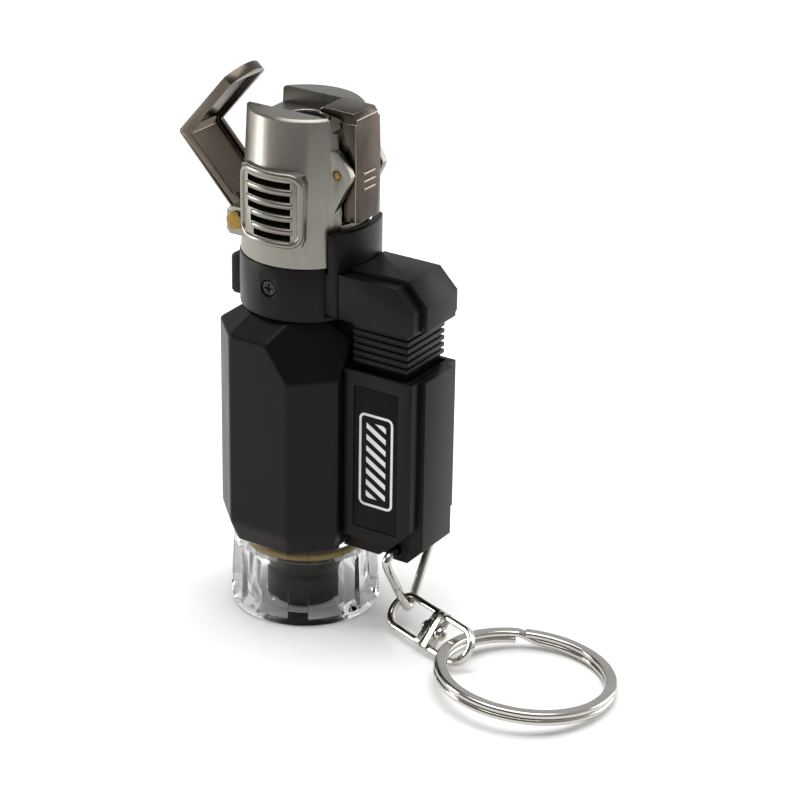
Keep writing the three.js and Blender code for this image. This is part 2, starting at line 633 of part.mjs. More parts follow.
// the short arm ends in an arc across its width
function capOutline() {
  const bow = LID_CAP - LID_CAP_SIDE;
  const r = (LID_HALF_Y ** 2 + bow ** 2) / (2 * bow);
  const keep = [];
  const steps = 12;
  const half = Math.asin(LID_HALF_Y / r);
  for (let i = 0; i <= steps; i += 1) {
    const a = -half + (2 * half * i) / steps;
    keep.push([LID_CAP - r + r * Math.cos(a), r * Math.sin(a)]);
  }
  const outlineXY = [[-30, -LID_HALF_Y - 1], [LID_CAP_SIDE, -LID_HALF_Y - 1], ...keep,
    [LID_CAP_SIDE, LID_HALF_Y + 1], [-30, LID_HALF_Y + 1]];
  const block = alongZ(outlineXY, [-30, 30]);
  return block.rotate([0, -capRise, 0]).translate([corner[0], 0, corner[1]]);
}
placeUpper('lid', makeLid(), 'gunmetal');

const pinEnd = BOSS_Y + 0.15;
placeUpper('lid_pin', barY(HINGE_PIN_R, [-pinEnd, pinEnd], LID_PIVOT)
  .add(barY(HINGE_HEAD_R, [-pinEnd - 0.35, -BOSS_Y - 0.05], LID_PIVOT, 24)), 'brass');

// torsion spring round the pin, between the lugs
function torsionSpring(r, wireR, turns, halfY, [x, z]) {
  const points = [];
  for (let i = 0; i <= turns * 10; i += 1) {
    const t = i / (turns * 10);
    const a = t * turns * Math.PI * 2;
    points.push([x + r * Math.cos(a), -halfY + 2 * halfY * t, z + r * Math.sin(a)]);
  }
  return wire(points, wireR, turns * 9, 6);
}
placeUpper('lid_spring', torsionSpring(1.4, 0.2, 4, 2.0, LID_PIVOT), 'steel');

// ---------------------------------------------------------------- release button
const BUTTON_PROFILE = [[8.7, 66.7], [11.45, 66.7], [11.5, 67.1], [10.95, 82.6], [10.3, 83.45],
  [4.9, 83.6], [4.5, 83.3], [4.5, 82.75], [8.0, 82.2], [8.7, 80.4]];   // side outline, X and Z
const BUTTON_R = 11.65;      // its outer face follows the head
const CATCH_Z = 82.0;        // the catch above this height is narrower
const CATCH_INSET = 0.5;
const PIN_PLAY = 0.12;       // clearance round the button's and the lever's pin
function makeButton() {
  const y = [-BUTTON_HALF_Y, BUTTON_HALF_Y];
  const body = alongY(BUTTON_PROFILE, y).intersect(cylinder(BUTTON_R, [LOW, HIGH], 64));
  const narrow = [y[0] + CATCH_INSET, y[1] - CATCH_INSET];
  const taper = box([0, BUTTON_R + 1], narrow, [CATCH_Z, HIGH])
    .add(box([0, BUTTON_R + 1], y, [LOW, CATCH_Z + 0.01]));
  return body.intersect(taper)
    .subtract(barY(BUTTON_PIN_R + PIN_PLAY, ACROSS, BUTTON_PIVOT, 16));
}
placeUpper('release_button', makeButton(), 'gunmetal');
placeUpper('button_pin', barY(BUTTON_PIN_R, [-EAR_Y[1] - 0.12, EAR_Y[1] + 0.12], BUTTON_PIVOT, 16),
  'brass');

// small return spring between the head wall and the back of the button
placeUpper('button_spring', wire(zigzag([7.2, 8.5], 69.0, 0.9, 3), 0.18, 27, 6), 'steel');

// a spring along X: a helix with the given end positions
function zigzag([x0, x1], z, r, turns) {
  const points = [];
  for (let i = 0; i <= turns * 10; i += 1) {
    const t = i / (turns * 10);
    const a = t * turns * Math.PI * 2;
    points.push([x0 + (x1 - x0) * t, r * Math.cos(a), z + r * Math.sin(a)]);
  }
  return points;
}

// ---------------------------------------------------------------- burner
const CUP_TOP = HEAD_FLOOR + 0.35;
const TUBE_R = 2.4;
placeUpper('flame_cup', turned([
  [TUBE_R + 0.1, 72.2], [CUP_HOLE_R - 0.2, 73.4], [CUP_HOLE_R - 0.2, CUP_TOP - 0.3],
  [CUP_HOLE_R - 0.5, CUP_TOP], [CUP_HOLE_R - 0.8, CUP_TOP - 0.2], [CUP_HOLE_R - 0.8, 74.2],
  [TUBE_R + 0.1, 73.2], [TUBE_R + 0.1, 72.2],
], 28), 'steel');
placeUpper('flame_grid', makeGrid(), 'steel');
placeUpper('mixing_tube', pipe(TUBE_R - 0.1, TUBE_R - 0.7, [62.6, 76.4], 24)
  .subtract(barY(0.7, [-4, 4], [0, 64.6], 12)), 'brass');
placeUpper('gas_jet', turned([
  [0.2, 56.6], [1.3, 56.6], [1.3, 60.2], [TUBE_R, 60.2], [TUBE_R, 61.4], [0.9, 62.3],
  [0.2, 62.3], [0.2, 56.6],
], FINE), 'brass');

// perforated plate that holds the flame
function makeGrid() {
  let plate = cylinder(CUP_HOLE_R - 0.9, [77.4, 77.9], 24);
  for (let i = 0; i < 6; i += 1) {
    const a = (i * Math.PI) / 3;
    plate = plate.subtract(cylinder(0.42, [77, 79], 8, [1.75 * Math.cos(a), 1.75 * Math.sin(a)]));
  }
  return plate.subtract(cylinder(0.5, [77, 79], 10));
}

const ROD_Y = 4.2;           // the electrode stands beside the cup
placeUpper('electrode_insulator', cylinder(0.75, [61.2, 72.0], 16, [0, ROD_Y]), 'ceramic');
placeUpper('electrode', wire([[0, ROD_Y, 72.1], [0, ROD_Y, 73.0], [0, ROD_Y, 76.6],
  [0, ROD_Y + 0.1, 78.5]], 0.25, 8, 6), 'steel');

// ---------------------------------------------------------------- gas valve
const VALVE_R = 2.2 - GAP;
const VALVE_SEAT = DRAWN_TOP - TANK_DROP;
placeUpper('gas_valve', turned([
  [0, 36.0], [VALVE_R, 36.0], [VALVE_R, VALVE_SEAT + 0.2], [3.3, VALVE_SEAT + 0.2],
  [3.3, VALVE_SEAT + 1.4], [1.7, VALVE_SEAT + 1.9], [1.7, 44.2], [0.85, 44.2], [0.85, 41.5],
  [0, 41.5],
], FINE), 'brass');
place('dip_tube', pipe(0.7, 0.35, [15.0, 35.8 + LIFT], 12), 'clear');
placeUpper('valve_stem', turned([
  [0, 42.0], [0.6, 42.0], [0.6, 45.2], [1.2, 45.2], [1.2, 45.8], [0.6, 45.8], [0.6, 47.0],
  [0, 47.0],
], 16), 'steel');
placeUpper('gas_hose', wire([[0, 0, 47.75], [0, 0, 48.6], [-1.2, 0, 50.5], [-1.3, 0, 52.5],
  [0, 0, 55.0], [0, 0, 56.35]], 0.55, 16, 8), 'rubber');

// forked lever: its inner end lifts the valve stem when the trigger presses its outer end
const LEVER_HALF_Y = 1.7;
const FORK_HALF_Y = 0.85;    // gap of the fork round the valve stem
function makeLever() {
  const [px, pz] = LEVER_PIN;
  const profile = [[-1.4, 44.35], [3.4, 44.35], [px, pz - 1.0], [11.2, pz - 0.6], [13.9, pz + 0.1],
    [13.9, pz + 0.7], [11.0, pz + 0.5], [px, pz + 0.9], [3.0, 45.0], [-1.4, 45.0]];
  return alongY(profile, [-LEVER_HALF_Y, LEVER_HALF_Y])
    .subtract(box([-2, 1.9], [-FORK_HALF_Y, FORK_HALF_Y], [pz - 4, pz]))
    .subtract(barY(LEVER_PIN_R + PIN_PLAY, ACROSS, LEVER_PIN, 12));
}
placeUpper('gas_lever', makeLever(), 'steel');
placeUpper('lever_pin', barY(LEVER_PIN_R, [-3.1, 3.1], LEVER_PIN, 12), 'steel');

// ---------------------------------------------------------------- trigger
function makeTrigger() {
  const main = alongY(noseSection(0), [-NOSE_HALF_Y, NOSE_HALF_Y]);
  const cheeks = alongY(noseSection(1), [-CHEEK_HALF_Y, CHEEK_HALF_Y]);
  const [x0, x1] = STEM_X;
  const y = [-STEM_HALF_Y, STEM_HALF_Y];
  let body = main.add(cheeks).add(box([x0, x1], y, [STEM_BOTTOM, NOSE_BOTTOM + 1]));
  for (let i = 0; i < RIBS; i += 1) {
    const z = NOSE_BOTTOM - 0.9 - i * RIB_PITCH;
    const half = RIB_PITCH * 0.27;
    body = body.add(box([x0 - 0.02, x1 + RIB_OUT],
      [-STEM_HALF_Y - RIB_OUT, STEM_HALF_Y + RIB_OUT], [z - half, z + half]));
  }
  const socket = box([x0 + 1, x1 - 1], [-STEM_HALF_Y + 1, STEM_HALF_Y - 1],
    [STEM_BOTTOM - 1, NOSE_BOTTOM - 2]);
  const leverSlot = box([x0 - 1, x0 + 2], [-2.3, 2.3], [STEM_BOTTOM - 1, NOSE_BOTTOM - 1.2]);
  return body.subtract(socket).subtract(leverSlot)
    .subtract(cylinder(RISER_R + RISER_CLEAR, [LOW, RISER_TOP + 5], 64));
}

// side outline of the nose (inset 0) or of its cheeks (inset 1)
function noseSection(inset) {
  const front = NOSE_X - CHEEK_INSET * inset;
  const top = NOSE_TOP - CHEEK_DROP * inset;
  const slant = NOSE_SLANT + 0.3 * (1 - inset);
  return [[8, NOSE_BOTTOM - 0.3 * inset], [front - 0.3, NOSE_BOTTOM - 0.3 * inset],
    [front, NOSE_BOTTOM + 0.3], [front, top - slant], [front - NOSE_SLANT, top], [8, top]];
}
placeUpper('trigger', makeTrigger(), 'black');

// ---------------------------------------------------------------- grip block
function makeGrip() {
  const c = GRIP_CHEEK_CUT;
  const f = GRIP_FRONT_CUT;
  const cheekX = GRIP_X - CHEEK_INSET;
  const rear = GRIP_REAR_X;
  const cheeks = alongY([[rear, GRIP_CHEEK_BOTTOM], [cheekX - c, GRIP_CHEEK_BOTTOM],
    [cheekX, GRIP_CHEEK_BOTTOM + c], [cheekX, GRIP_TOP], [rear, GRIP_TOP]],
  [-CHEEK_HALF_Y, CHEEK_HALF_Y]);
  const notch = 16.6;
  const main = alongY([[rear, GRIP_BOTTOM], [notch, GRIP_BOTTOM], [notch + 0.8, GRIP_BOTTOM + 0.7],
    [LOOP_HOLE[0] - 1.5, GRIP_BOTTOM + 0.7], [LOOP_HOLE[0] - 0.6, GRIP_BOTTOM],
    [GRIP_X - f, GRIP_BOTTOM], [GRIP_X, GRIP_BOTTOM + f], [GRIP_X, GRIP_TOP], [rear, GRIP_TOP]],
  [-NOSE_HALF_Y, NOSE_HALF_Y]);
  const clear = RIB_OUT + GAP;
  const well = box([STEM_X[0] - GAP, STEM_X[1] + clear],
    [-STEM_HALF_Y - clear, STEM_HALF_Y + clear], [GRIP_TOP - 10.9, GRIP_TOP + 1]);
  const lower = box([STEM_X[0] - GAP, STEM_X[1] + clear], [-4.6, 4.6],
    [GRIP_TOP - 26.0, GRIP_TOP - 10.4]);
  const tunnel = barY(LOOP_HOLE_R, [-8, 8], LOOP_HOLE, 24);
  const leverGate = box([7, STEM_X[0] + 1], [-2.2, 2.2], [GRIP_TOP - 2.2, GRIP_TOP + 1]);
  return cheeks.add(main).subtract(well).subtract(lower).subtract(tunnel).subtract(leverGate)
    .subtract(labelPocket(0)).subtract(octagonBody(GAP));
}

function labelPocket(shrink) {
  const [x0, x1] = LABEL_X;
  const [z0, z1] = LABEL_Z;
  const y = -CHEEK_HALF_Y;
  return box([x0 + shrink, x1 - shrink], [y - (shrink ? -0.08 : 1), y + LABEL_DEPTH - shrink / 2],
    [z0 + shrink, z1 - shrink]);
}
place('grip_block', makeGrip(), 'black');
place('label_plate', labelPocket(0.1), 'label');

// ---------------------------------------------------------------- piezo igniter
const PIEZO_X = [13.3, 20.4];
const PIEZO_Y = 3.6;
function makePiezo() {
  const well = box([PIEZO_X[0] + 1, PIEZO_X[1] - 1], [-PIEZO_Y + 1, PIEZO_Y - 1], [22.6, 35]);
  return box(PIEZO_X, [-PIEZO_Y, PIEZO_Y], [18.7, 33.0]).subtract(well);
}
placeUpper('piezo_body', makePiezo(), 'grey');
const PLUNGER_MID = (PIEZO_X[0] + PIEZO_X[1]) / 2;
placeUpper('piezo_plunger', box([PIEZO_X[0] + 1.3, PIEZO_X[1] - 1.3], [-PIEZO_Y + 1.3, PIEZO_Y - 1.3],
  [28.4, 38.0]).add(box([PLUNGER_MID - 1.2, PLUNGER_MID + 1.2], [-1.2, 1.2], [37.5, 49.9])),
'black');
placeUpper('trigger_spring', coil(2.0, 0.25, 6, [39.0, 49.6], [PLUNGER_MID, 0]), 'steel');
placeUpper('ignition_wire', wire([[12.7, 0, 19.2], [12.7, 0, 19.6], [12.7, 0, 26], [12.7, 0, 32.6]],
  0.22, 12, 6), 'rubber');

// ---------------------------------------------------------------- key hardware
// triangular loop of round wire, hung through the grip, with its butt joint on the near leg
function makeKeyLoop() {
  const [x, top] = LOOP_HOLE;
  const c = 1.7;
  const mid = (top + LOOP_APEX_Z) / 2;
  const points = [
    [x, -0.55 * LOOP_HALF, mid - 0.9], [x, -1.1, LOOP_APEX_Z + 0.8], [x, 0, LOOP_APEX_Z],
    [x, 1.1, LOOP_APEX_Z + 0.8], [x, 0.55 * LOOP_HALF, mid - 0.9],
    [x, LOOP_HALF - 0.35, top - c - 0.7], [x, LOOP_HALF - 0.1, top - 0.8],
    [x, LOOP_HALF - c, top], [x, LOOP_HALF - 2 * c, top], [x, -LOOP_HALF + 2 * c, top],
    [x, -LOOP_HALF + c, top], [x, -LOOP_HALF + 0.1, top - 0.8],
    [x, -LOOP_HALF + 0.35, top - c - 0.7], [x, -0.55 * LOOP_HALF - 0.08, mid - 0.75],
  ];
  return wire(points, WIRE_R, 38, 8);
}
place('key_loop', makeKeyLoop(), 'nickel');

// a swivel link in its own frame: +X along the swivel, legs in the X-Y plane, the round end
// at x = 0 and the plate at x = LINK_LENGTH
const PLATE_T = 1.0;
const PLATE_HALF = 1.15;
function makeLink(length) {
  const r = LINK_HALF;
  const points = [[length, r, 0], [length * 0.75, r, 0], [r + 0.2, r, 0]];
  for (let i = 1; i < 8; i += 1) {
    const a = Math.PI / 2 + (i * Math.PI) / 8;
    points.push([r + r * Math.cos(a), r * Math.sin(a), 0]);
  }
  points.push([r + 0.2, -r, 0], [length * 0.75, -r, 0], [length, -r, 0]);
  const legs = wire(points, LINK_WIRE_R, 30, 8);
  const plate = box([length - PLATE_T, length], [-r - LINK_WIRE_R, r + LINK_WIRE_R],
    [-PLATE_HALF, PLATE_HALF]).subtract(alongX(0.85, [length - 2, length + 1]));
  return legs.add(plate);
}

function alongX(r, [x0, x1], segments = 16) {
  const g = new THREE.CylinderGeometry(r, r, x1 - x0, segments);
  g.rotateZ(Math.PI / 2);
  g.translate((x0 + x1) / 2, 0, 0);
  return solid(g);
}

function onSwivel(body, roll) {
  return body.rotate([roll, 0, 0]).rotate([0, 0, SWIVEL_YAW]).translate(SWIVEL_START);
}
const PLATE_GAP = 0.45;
const LOWER_START = LINK_LENGTH + PLATE_GAP;
place('swivel_upper', onSwivel(makeLink(LINK_LENGTH), UPPER_ROLL), 'nickel');
place('swivel_lower', onSwivel(makeLink(LOWER_LENGTH).rotate([0, 0, 180])
  .translate([LOWER_START + LOWER_LENGTH, 0, 0]), LOWER_ROLL), 'nickel');
const RIVET_R = 0.6;
function makeRivet() {
  const head = 1.15;
  const inner = LINK_LENGTH - PLATE_T - GAP;
  const outer = LOWER_START + PLATE_T + GAP;
  return alongX(RIVET_R, [inner - 0.2, outer + 0.2]).add(alongX(head, [inner - 0.8, inner]))
    .add(alongX(head, [outer, outer + 1.0]));
}
place('swivel_rivet', onSwivel(makeRivet(), 0), 'nickel');

function makeSplitRing() {
  const [x, y] = RING_CENTRE;
  const inner = RING_R - RING_WIDTH;
  const c = 0.35;
  const groove = 0.12;
  const mid = RING_H / 2;
  return turned([
    [inner + c, 0], [RING_R - c, 0], [RING_R, c], [RING_R, mid - groove],
    [RING_R - groove, mid], [RING_R, mid + groove], [RING_R, RING_H - c],
    [RING_R - c, RING_H], [inner + c, RING_H], [inner, RING_H - c], [inner, c], [inner + c, 0],
  ], 40).rotate([0, RING_TILT, 0]).rotate([0, 0, RING_TILT_YAW])
    .translate([x, y, RING_R * Math.sin(rad(RING_TILT))]);
}
place('split_ring', makeSplitRing(), 'nickel');

export default torch;
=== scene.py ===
import math

import bmesh
import bpy
import numpy as np
from bpy.props import FloatProperty, FloatVectorProperty, PointerProperty
from mathutils import Matrix, Vector


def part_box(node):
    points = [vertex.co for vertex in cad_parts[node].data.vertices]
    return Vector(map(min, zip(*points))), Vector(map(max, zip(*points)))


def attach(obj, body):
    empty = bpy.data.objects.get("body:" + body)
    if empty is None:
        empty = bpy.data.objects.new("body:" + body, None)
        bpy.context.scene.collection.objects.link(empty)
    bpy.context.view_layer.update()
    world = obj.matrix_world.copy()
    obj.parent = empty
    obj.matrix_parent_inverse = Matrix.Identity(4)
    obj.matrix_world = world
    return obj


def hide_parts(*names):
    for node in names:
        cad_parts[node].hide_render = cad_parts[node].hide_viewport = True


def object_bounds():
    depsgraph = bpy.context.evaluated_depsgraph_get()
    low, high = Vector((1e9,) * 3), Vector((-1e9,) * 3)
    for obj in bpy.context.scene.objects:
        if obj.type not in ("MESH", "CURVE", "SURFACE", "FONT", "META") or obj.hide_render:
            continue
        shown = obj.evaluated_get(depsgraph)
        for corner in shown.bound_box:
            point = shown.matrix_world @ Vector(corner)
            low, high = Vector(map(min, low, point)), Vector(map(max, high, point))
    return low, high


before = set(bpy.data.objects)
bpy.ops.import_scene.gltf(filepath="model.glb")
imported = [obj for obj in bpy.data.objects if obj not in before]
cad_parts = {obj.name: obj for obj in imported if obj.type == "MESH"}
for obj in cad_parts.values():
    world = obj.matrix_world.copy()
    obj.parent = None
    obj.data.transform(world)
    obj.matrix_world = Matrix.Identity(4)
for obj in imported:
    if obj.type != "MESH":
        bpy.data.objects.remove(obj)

bl_info = {
    "name": "Pocket butane torch",
    "version": (1, 0, 0),
    "blender": (4, 5, 0),
    "location": "View3D > Sidebar > Torch",
    "description": "Builds the finished pieces of a pocket butane torch round its CAD frame",
    "category": "Add Mesh",
}

MM = 0.001
CAD_LOW, CAD_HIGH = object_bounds()

# how a copied CAD solid is cleaned and rounded: lengths in metres, angles in degrees
MERGE_WITHIN, FLAT_WITHIN = 2e-6, 0.6
ROUND_FROM, SHARP_FROM = 24, 28
METAL_SHARP = 40
PIN_EDGE = 0.1 * MM

# height of the grain that the bump of each finish stands for
MOULDED_RELIEF, PLATED_RELIEF = 0.00002, 0.000012

PILLARS = 8


# ------------------------------------------------------------------ sizes and colours

class TorchSizes(bpy.types.PropertyGroup):
    """Sizes that a maker would change without touching the frame."""
    edge: FloatProperty(
        name="Moulded edge", description="Radius on the edges of the black mouldings",
        default=0.00028, unit="LENGTH")
    cast_edge: FloatProperty(
        name="Cast edge", description="Radius on the edges of the plated castings",
        default=0.0002, unit="LENGTH")
    head_edge: FloatProperty(
        name="Head edge", description="Rounding of the burner head's edges",
        default=0.00014, unit="LENGTH")
    pillar_edge: FloatProperty(
        name="Pillar edge", description="Width of the rounded side of a clear pillar, in degrees",
        default=1.1)
    grain: FloatProperty(
        name="Grain depth", description="Depth of the upright grain on the burner head",
        default=0.18, min=0.0, max=1.0)


class TorchColours(bpy.types.PropertyGroup):
    """Base colours of the finishes."""
    black: FloatVectorProperty(
        name="Black plastic", description="Body, collar, trigger and grip",
        subtype="COLOR", size=3, default=(0.0050, 0.0037, 0.0030))
    satin: FloatVectorProperty(
        name="Satin nickel", description="Burner head", subtype="COLOR", size=3,
        default=(0.25, 0.237, 0.207))
    gunmetal: FloatVectorProperty(
        name="Gunmetal", description="Lid and release button", subtype="COLOR", size=3,
        default=(0.115, 0.095, 0.075))
    nickel: FloatVectorProperty(
        name="Bright nickel", description="Ring, loop and swivel", subtype="COLOR", size=3,
        default=(0.56, 0.54, 0.50))
    brass: FloatVectorProperty(
        name="Brass", description="Hinge pins and jets", subtype="COLOR", size=3,
        default=(0.29, 0.19, 0.055))
    seal: FloatVectorProperty(
        name="Seal", description="Amber seal under the body", subtype="COLOR", size=3,
        default=(0.27, 0.20, 0.085))


def sizes():
    return bpy.context.scene.torch_sizes


# ------------------------------------------------------------------ mesh helpers

def add_piece(name, verts, faces, body, material, nodes, sharp=None):
    """A mesh in millimetres at the origin that rides on a body and stands for CAD nodes. Edges
    sharper than the angle in degrees are drawn sharp."""
    mesh = bpy.data.meshes.new(name)
    mesh.from_pydata((verts * MM).tolist(), [], faces)
    mesh.validate()
    obj = bpy.data.objects.new(name, mesh)
    bpy.context.scene.collection.objects.link(obj)
    bm = bmesh.new()
    bm.from_mesh(mesh)
    bmesh.ops.recalc_face_normals(bm, faces=bm.faces)
    bm.to_mesh(mesh)
    bm.free()
    mesh.polygons.foreach_set("use_smooth", np.full(len(mesh.polygons), True))
    if sharp:
        mesh.set_sharp_from_angle(angle=math.radians(sharp))
    mesh.materials.append(material)
    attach(obj, body)
    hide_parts(*nodes)
    return obj


def add_shape(obj, verts, faces, slot_index=0):
    """Adds a closed shape in millimetres to a finished mesh."""
    bm = bmesh.new()
    bm.from_mesh(obj.data)
    made = [bm.verts.new(v) for v in (verts * MM).tolist()]
    new = [bm.faces.new([made[i] for i in f]) for f in faces]
    for face in new:
        face.smooth = True
        face.material_index = slot_index
    bmesh.ops.recalc_face_normals(bm, faces=new)
    bm.to_mesh(obj.data)
    bm.free()


def finished_copy(node, body, material, width, segments=3, highlight_finish=None, shape=None):
    """A copy of a CAD solid with its loose triangles merged, its flat faces joined and its sharp
    edges rounded. The rounded strips take the second material if there is one, a lighter copy of
    the finish that paints a highlight on them."""
    bm = bmesh.new()
    bm.from_mesh(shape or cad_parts[node].data)
    bmesh.ops.remove_doubles(bm, verts=bm.verts, dist=MERGE_WITHIN)
    bmesh.ops.dissolve_degenerate(bm, edges=bm.edges, dist=MERGE_WITHIN / 2)
    bmesh.ops.dissolve_limit(bm, angle_limit=math.radians(FLAT_WITHIN), verts=bm.verts,
                             edges=bm.edges)
    mesh = bpy.data.meshes.new(node + "_finished")
    bm.to_mesh(mesh)
    bm.free()
    obj = bpy.data.objects.new(node + "_finished", mesh)
    bpy.context.scene.collection.objects.link(obj)
    mesh.materials.clear()
    mesh.materials.append(material)
    bevel = obj.modifiers.new("edges", "BEVEL")
    bevel.width = width
    bevel.segments = segments
    bevel.limit_method = "ANGLE"
    bevel.angle_limit = math.radians(ROUND_FROM)
    bevel.use_clamp_overlap = True
    bevel.miter_outer = "MITER_SHARP"
    if highlight_finish is not None:
        mesh.materials.append(highlight_finish)
        # the rounded strips take the lighter copy: a painted highlight along every sharp edge
        bevel.material = 1
    bpy.context.view_layer.update()
    done = bpy.data.meshes.new_from_object(obj.evaluated_get(
        bpy.context.evaluated_depsgraph_get()))
    obj.modifiers.clear()
    obj.data = done
    done.polygons.foreach_set("use_smooth", np.full(len(done.polygons), True))
    done.set_sharp_from_angle(angle=math.radians(SHARP_FROM))
    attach(obj, body)
    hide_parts(node)
    return obj


def paint_nodes(finishes):
    """Paints CAD nodes that are shown as they are."""
    for node, finish in finishes.items():
        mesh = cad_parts[node].data
        mesh.materials.clear()
        mesh.materials.append(FINISHES[finish])


def ring_grid(points, close_u=True, close_v=True):
    """Vertices and quads of a grid of points [u, v, xyz], closed in u and in v if asked."""
    nu, nv = points.shape[:2]
    iu = np.arange(nu if close_u else nu - 1)
    iv = np.arange(nv if close_v else nv - 1)
    u, v = np.meshgrid(iu, iv, indexing="ij")
    un, vn = (u + 1) % nu, (v + 1) % nv
    faces = np.stack([u * nv + v, un * nv + v, un * nv + vn, u * nv + vn], -1).reshape(-1, 4)
    return points.reshape(-1, 3), faces.tolist()


def turned(angles, radius, height):
    """Points at each angle in radians [n, 1], radius and height, about the upright axis."""
    return np.stack([np.cos(angles) * radius, np.sin(angles) * radius,
                     np.broadcast_to(height, radius.shape)], -1)


def lathe(profile, segments=96):
    """Grid of a profile [m, 2] of radius and height turned about the upright axis."""
    a = np.linspace(0, 2 * np.pi, segments, endpoint=False)[:, None]
    return turned(a, np.broadcast_to(profile[:, 0], (segments, len(profile))), profile[:, 1])


def tube_grid(path, section, ups):
    """Grid of a section [m, 2] carried along a path [n, 3]: each point is the path's point
    plus the section's first number times the side vector and its second times the up vector.
    """
    tangent = np.gradient(path, axis=0)
    tangent /= np.linalg.norm(tangent, axis=1, keepdims=True)
    side = np.cross(tangent, ups)
    side /= np.linalg.norm(side, axis=1, keepdims=True)
    up = np.cross(side, tangent)
    return (path[:, None] + section[None, :, :1] * side[:, None]
            + section[None, :, 1:] * up[:, None])


def capped(points):
    """Vertices and faces of an open tube with a flat n-gon at each end."""
    verts, faces = ring_grid(points, close_u=False)
    nu, nv = points.shape[:2]
    faces.append(list(range(nv)))
    faces.append([(nu - 1) * nv + k for k in range(nv)][::-1])
    return verts, faces


def capped_tube(path, section, up):
    """A capped tube whose up vector is the same all along, or one for each point."""
    return capped(tube_grid(path, section, np.broadcast_to(up, path.shape)))


def rounded_section(half_w, half_h, r, corner=6):
    """Outline of a rectangle with rounded corners, as an array of [x, y]: each corner is a
    quarter circle of radius r about the point r in from both sides."""
    a = np.linspace(0, np.pi / 2, corner)
    arcs = []
    for k, (sx, sy) in enumerate(((1, 1), (-1, 1), (-1, -1), (1, -1))):
        t = a + k * np.pi / 2
        arcs.append(np.stack([sx * (half_w - r) + r * np.cos(t),
                              sy * (half_h - r) + r * np.sin(t)], -1))
    return np.concatenate(arcs)


def circle_section(r, count=20):
    """A circle of radius r as an array of [x, y]."""
    a = np.linspace(0, 2 * np.pi, count, endpoint=False)
    return np.stack([r * np.cos(a), r * np.sin(a)], -1)


def soften(profile, r, steps=4):
    """A closed profile whose corners are cut by short arcs: each corner is replaced by a
    quadratic curve that starts and ends r from it, or two fifths of the side if shorter."""
    p = np.asarray(profile, float)
    before, after = np.roll(p, 1, 0) - p, np.roll(p, -1, 0) - p
    lb = np.linalg.norm(before, axis=1, keepdims=True)
    la = np.linalg.norm(after, axis=1, keepdims=True)
    a = p + before / lb * np.minimum(r, lb * 0.4)
    b = p + after / la * np.minimum(r, la * 0.4)
    t = np.linspace(0, 1, steps)[None, :, None]
    arc = (1 - t) ** 2 * a[:, None] + 2 * t * (1 - t) * p[:, None] + t ** 2 * b[:, None]
    return arc.reshape(-1, 2)


def smooth_step(t):
    """3 t squared less 2 t cubed: 0 to 1 with a level start and end."""
    return t * t * (3 - 2 * t)


def even_lengths(curve, want):
    """Points of a line [n, k] at shares of its length."""
    step = np.linalg.norm(np.diff(curve, axis=0), axis=1)
    s = np.concatenate([[0], np.cumsum(step)])
    return np.stack([np.interp(want * s[-1], s, column) for column in curve.T], -1)


def smooth_path(points, count):
    """An open Catmull-Rom curve through the points, sampled at even lengths."""
    p = np.asarray(points, float)
    q = np.vstack([2 * p[0] - p[1], p, 2 * p[-1] - p[-2]])
    spans = len(p) - 1
    t = np.linspace(0, spans, spans * 40)
    i = np.minimum(t.astype(int), spans - 1)
    f = (t - i)[:, None]
    a, b, c, d = q[i], q[i + 1], q[i + 2], q[i + 3]
    curve = 0.5 * (2 * b + (c - a) * f + (2 * a - 5 * b + 4 * c - d) * f ** 2
                   + (3 * b - a - 3 * c + d) * f ** 3)
    return even_lengths(curve, np.linspace(0, 1, count))


# ------------------------------------------------------------------ shader groups

def shader_group(name, inputs, outputs):
    """An empty node group with named sockets: inputs and outputs map a name to its kind."""
    group = bpy.data.node_groups.new(name, "ShaderNodeTree")
    for label, (kind, default) in inputs.items():
        socket = group.interface.new_socket(name=label, in_out="INPUT", socket_type=kind)
        socket.default_value = default
    for label, kind in outputs.items():
        group.interface.new_socket(name=label, in_out="OUTPUT", socket_type=kind)
    return group, group.nodes.new("NodeGroupInput"), group.nodes.new("NodeGroupOutput")


def feed(tree, what, socket):
    """Links an output to a socket, or sets the socket to a plain value."""
    if hasattr(what, "is_linked"):
        tree.links.new(what, socket)
    else:
        socket.default_value = what


def object_noise(tree, scale, stretch=(1, 1, 1), detail=3.0, roughness=0.55):
    """Noise on object coordinates, with scale in features per metre."""
    place = tree.nodes.new("ShaderNodeTexCoord")
    mapping = tree.nodes.new("ShaderNodeMapping")
    mapping.inputs["Scale"].default_value = stretch
    noise = tree.nodes.new("ShaderNodeTexNoise")
    noise.inputs["Scale"].default_value = scale
    noise.inputs["Detail"].default_value = detail
    noise.inputs["Roughness"].default_value = roughness
    tree.links.new(place.outputs["Object"], mapping.inputs["Vector"])
    tree.links.new(mapping.outputs["Vector"], noise.inputs["Vector"])
    return noise.outputs["Fac"]


def remap(tree, value, low, high, out_low, out_high):
    """Moves a value from one range to another, clamped to it."""
    node = tree.nodes.new("ShaderNodeMapRange")
    for label, what in (("Value", value), ("From Min", low), ("From Max", high),
                        ("To Min", out_low), ("To Max", out_high)):
        feed(tree, what, node.inputs[label])
    return node.outputs["Result"]


def calculate(tree, operation, *values):
    """A math node on values that are numbers or outputs."""
    node = tree.nodes.new("ShaderNodeMath")
    node.operation = operation
    for what, socket in zip(values, node.inputs):
        feed(tree, what, socket)
    return node.outputs[0]


def blend_colour(tree, fac, a, b, kind="MIX"):
    """A colour mixed from two by a factor."""
    node = tree.nodes.new("ShaderNodeMix")
    node.data_type = "RGBA"
    node.blend_type = kind
    for index, what in ((0, fac), (6, a), (7, b)):
        feed(tree, what, node.inputs[index])
    return node.outputs[2]


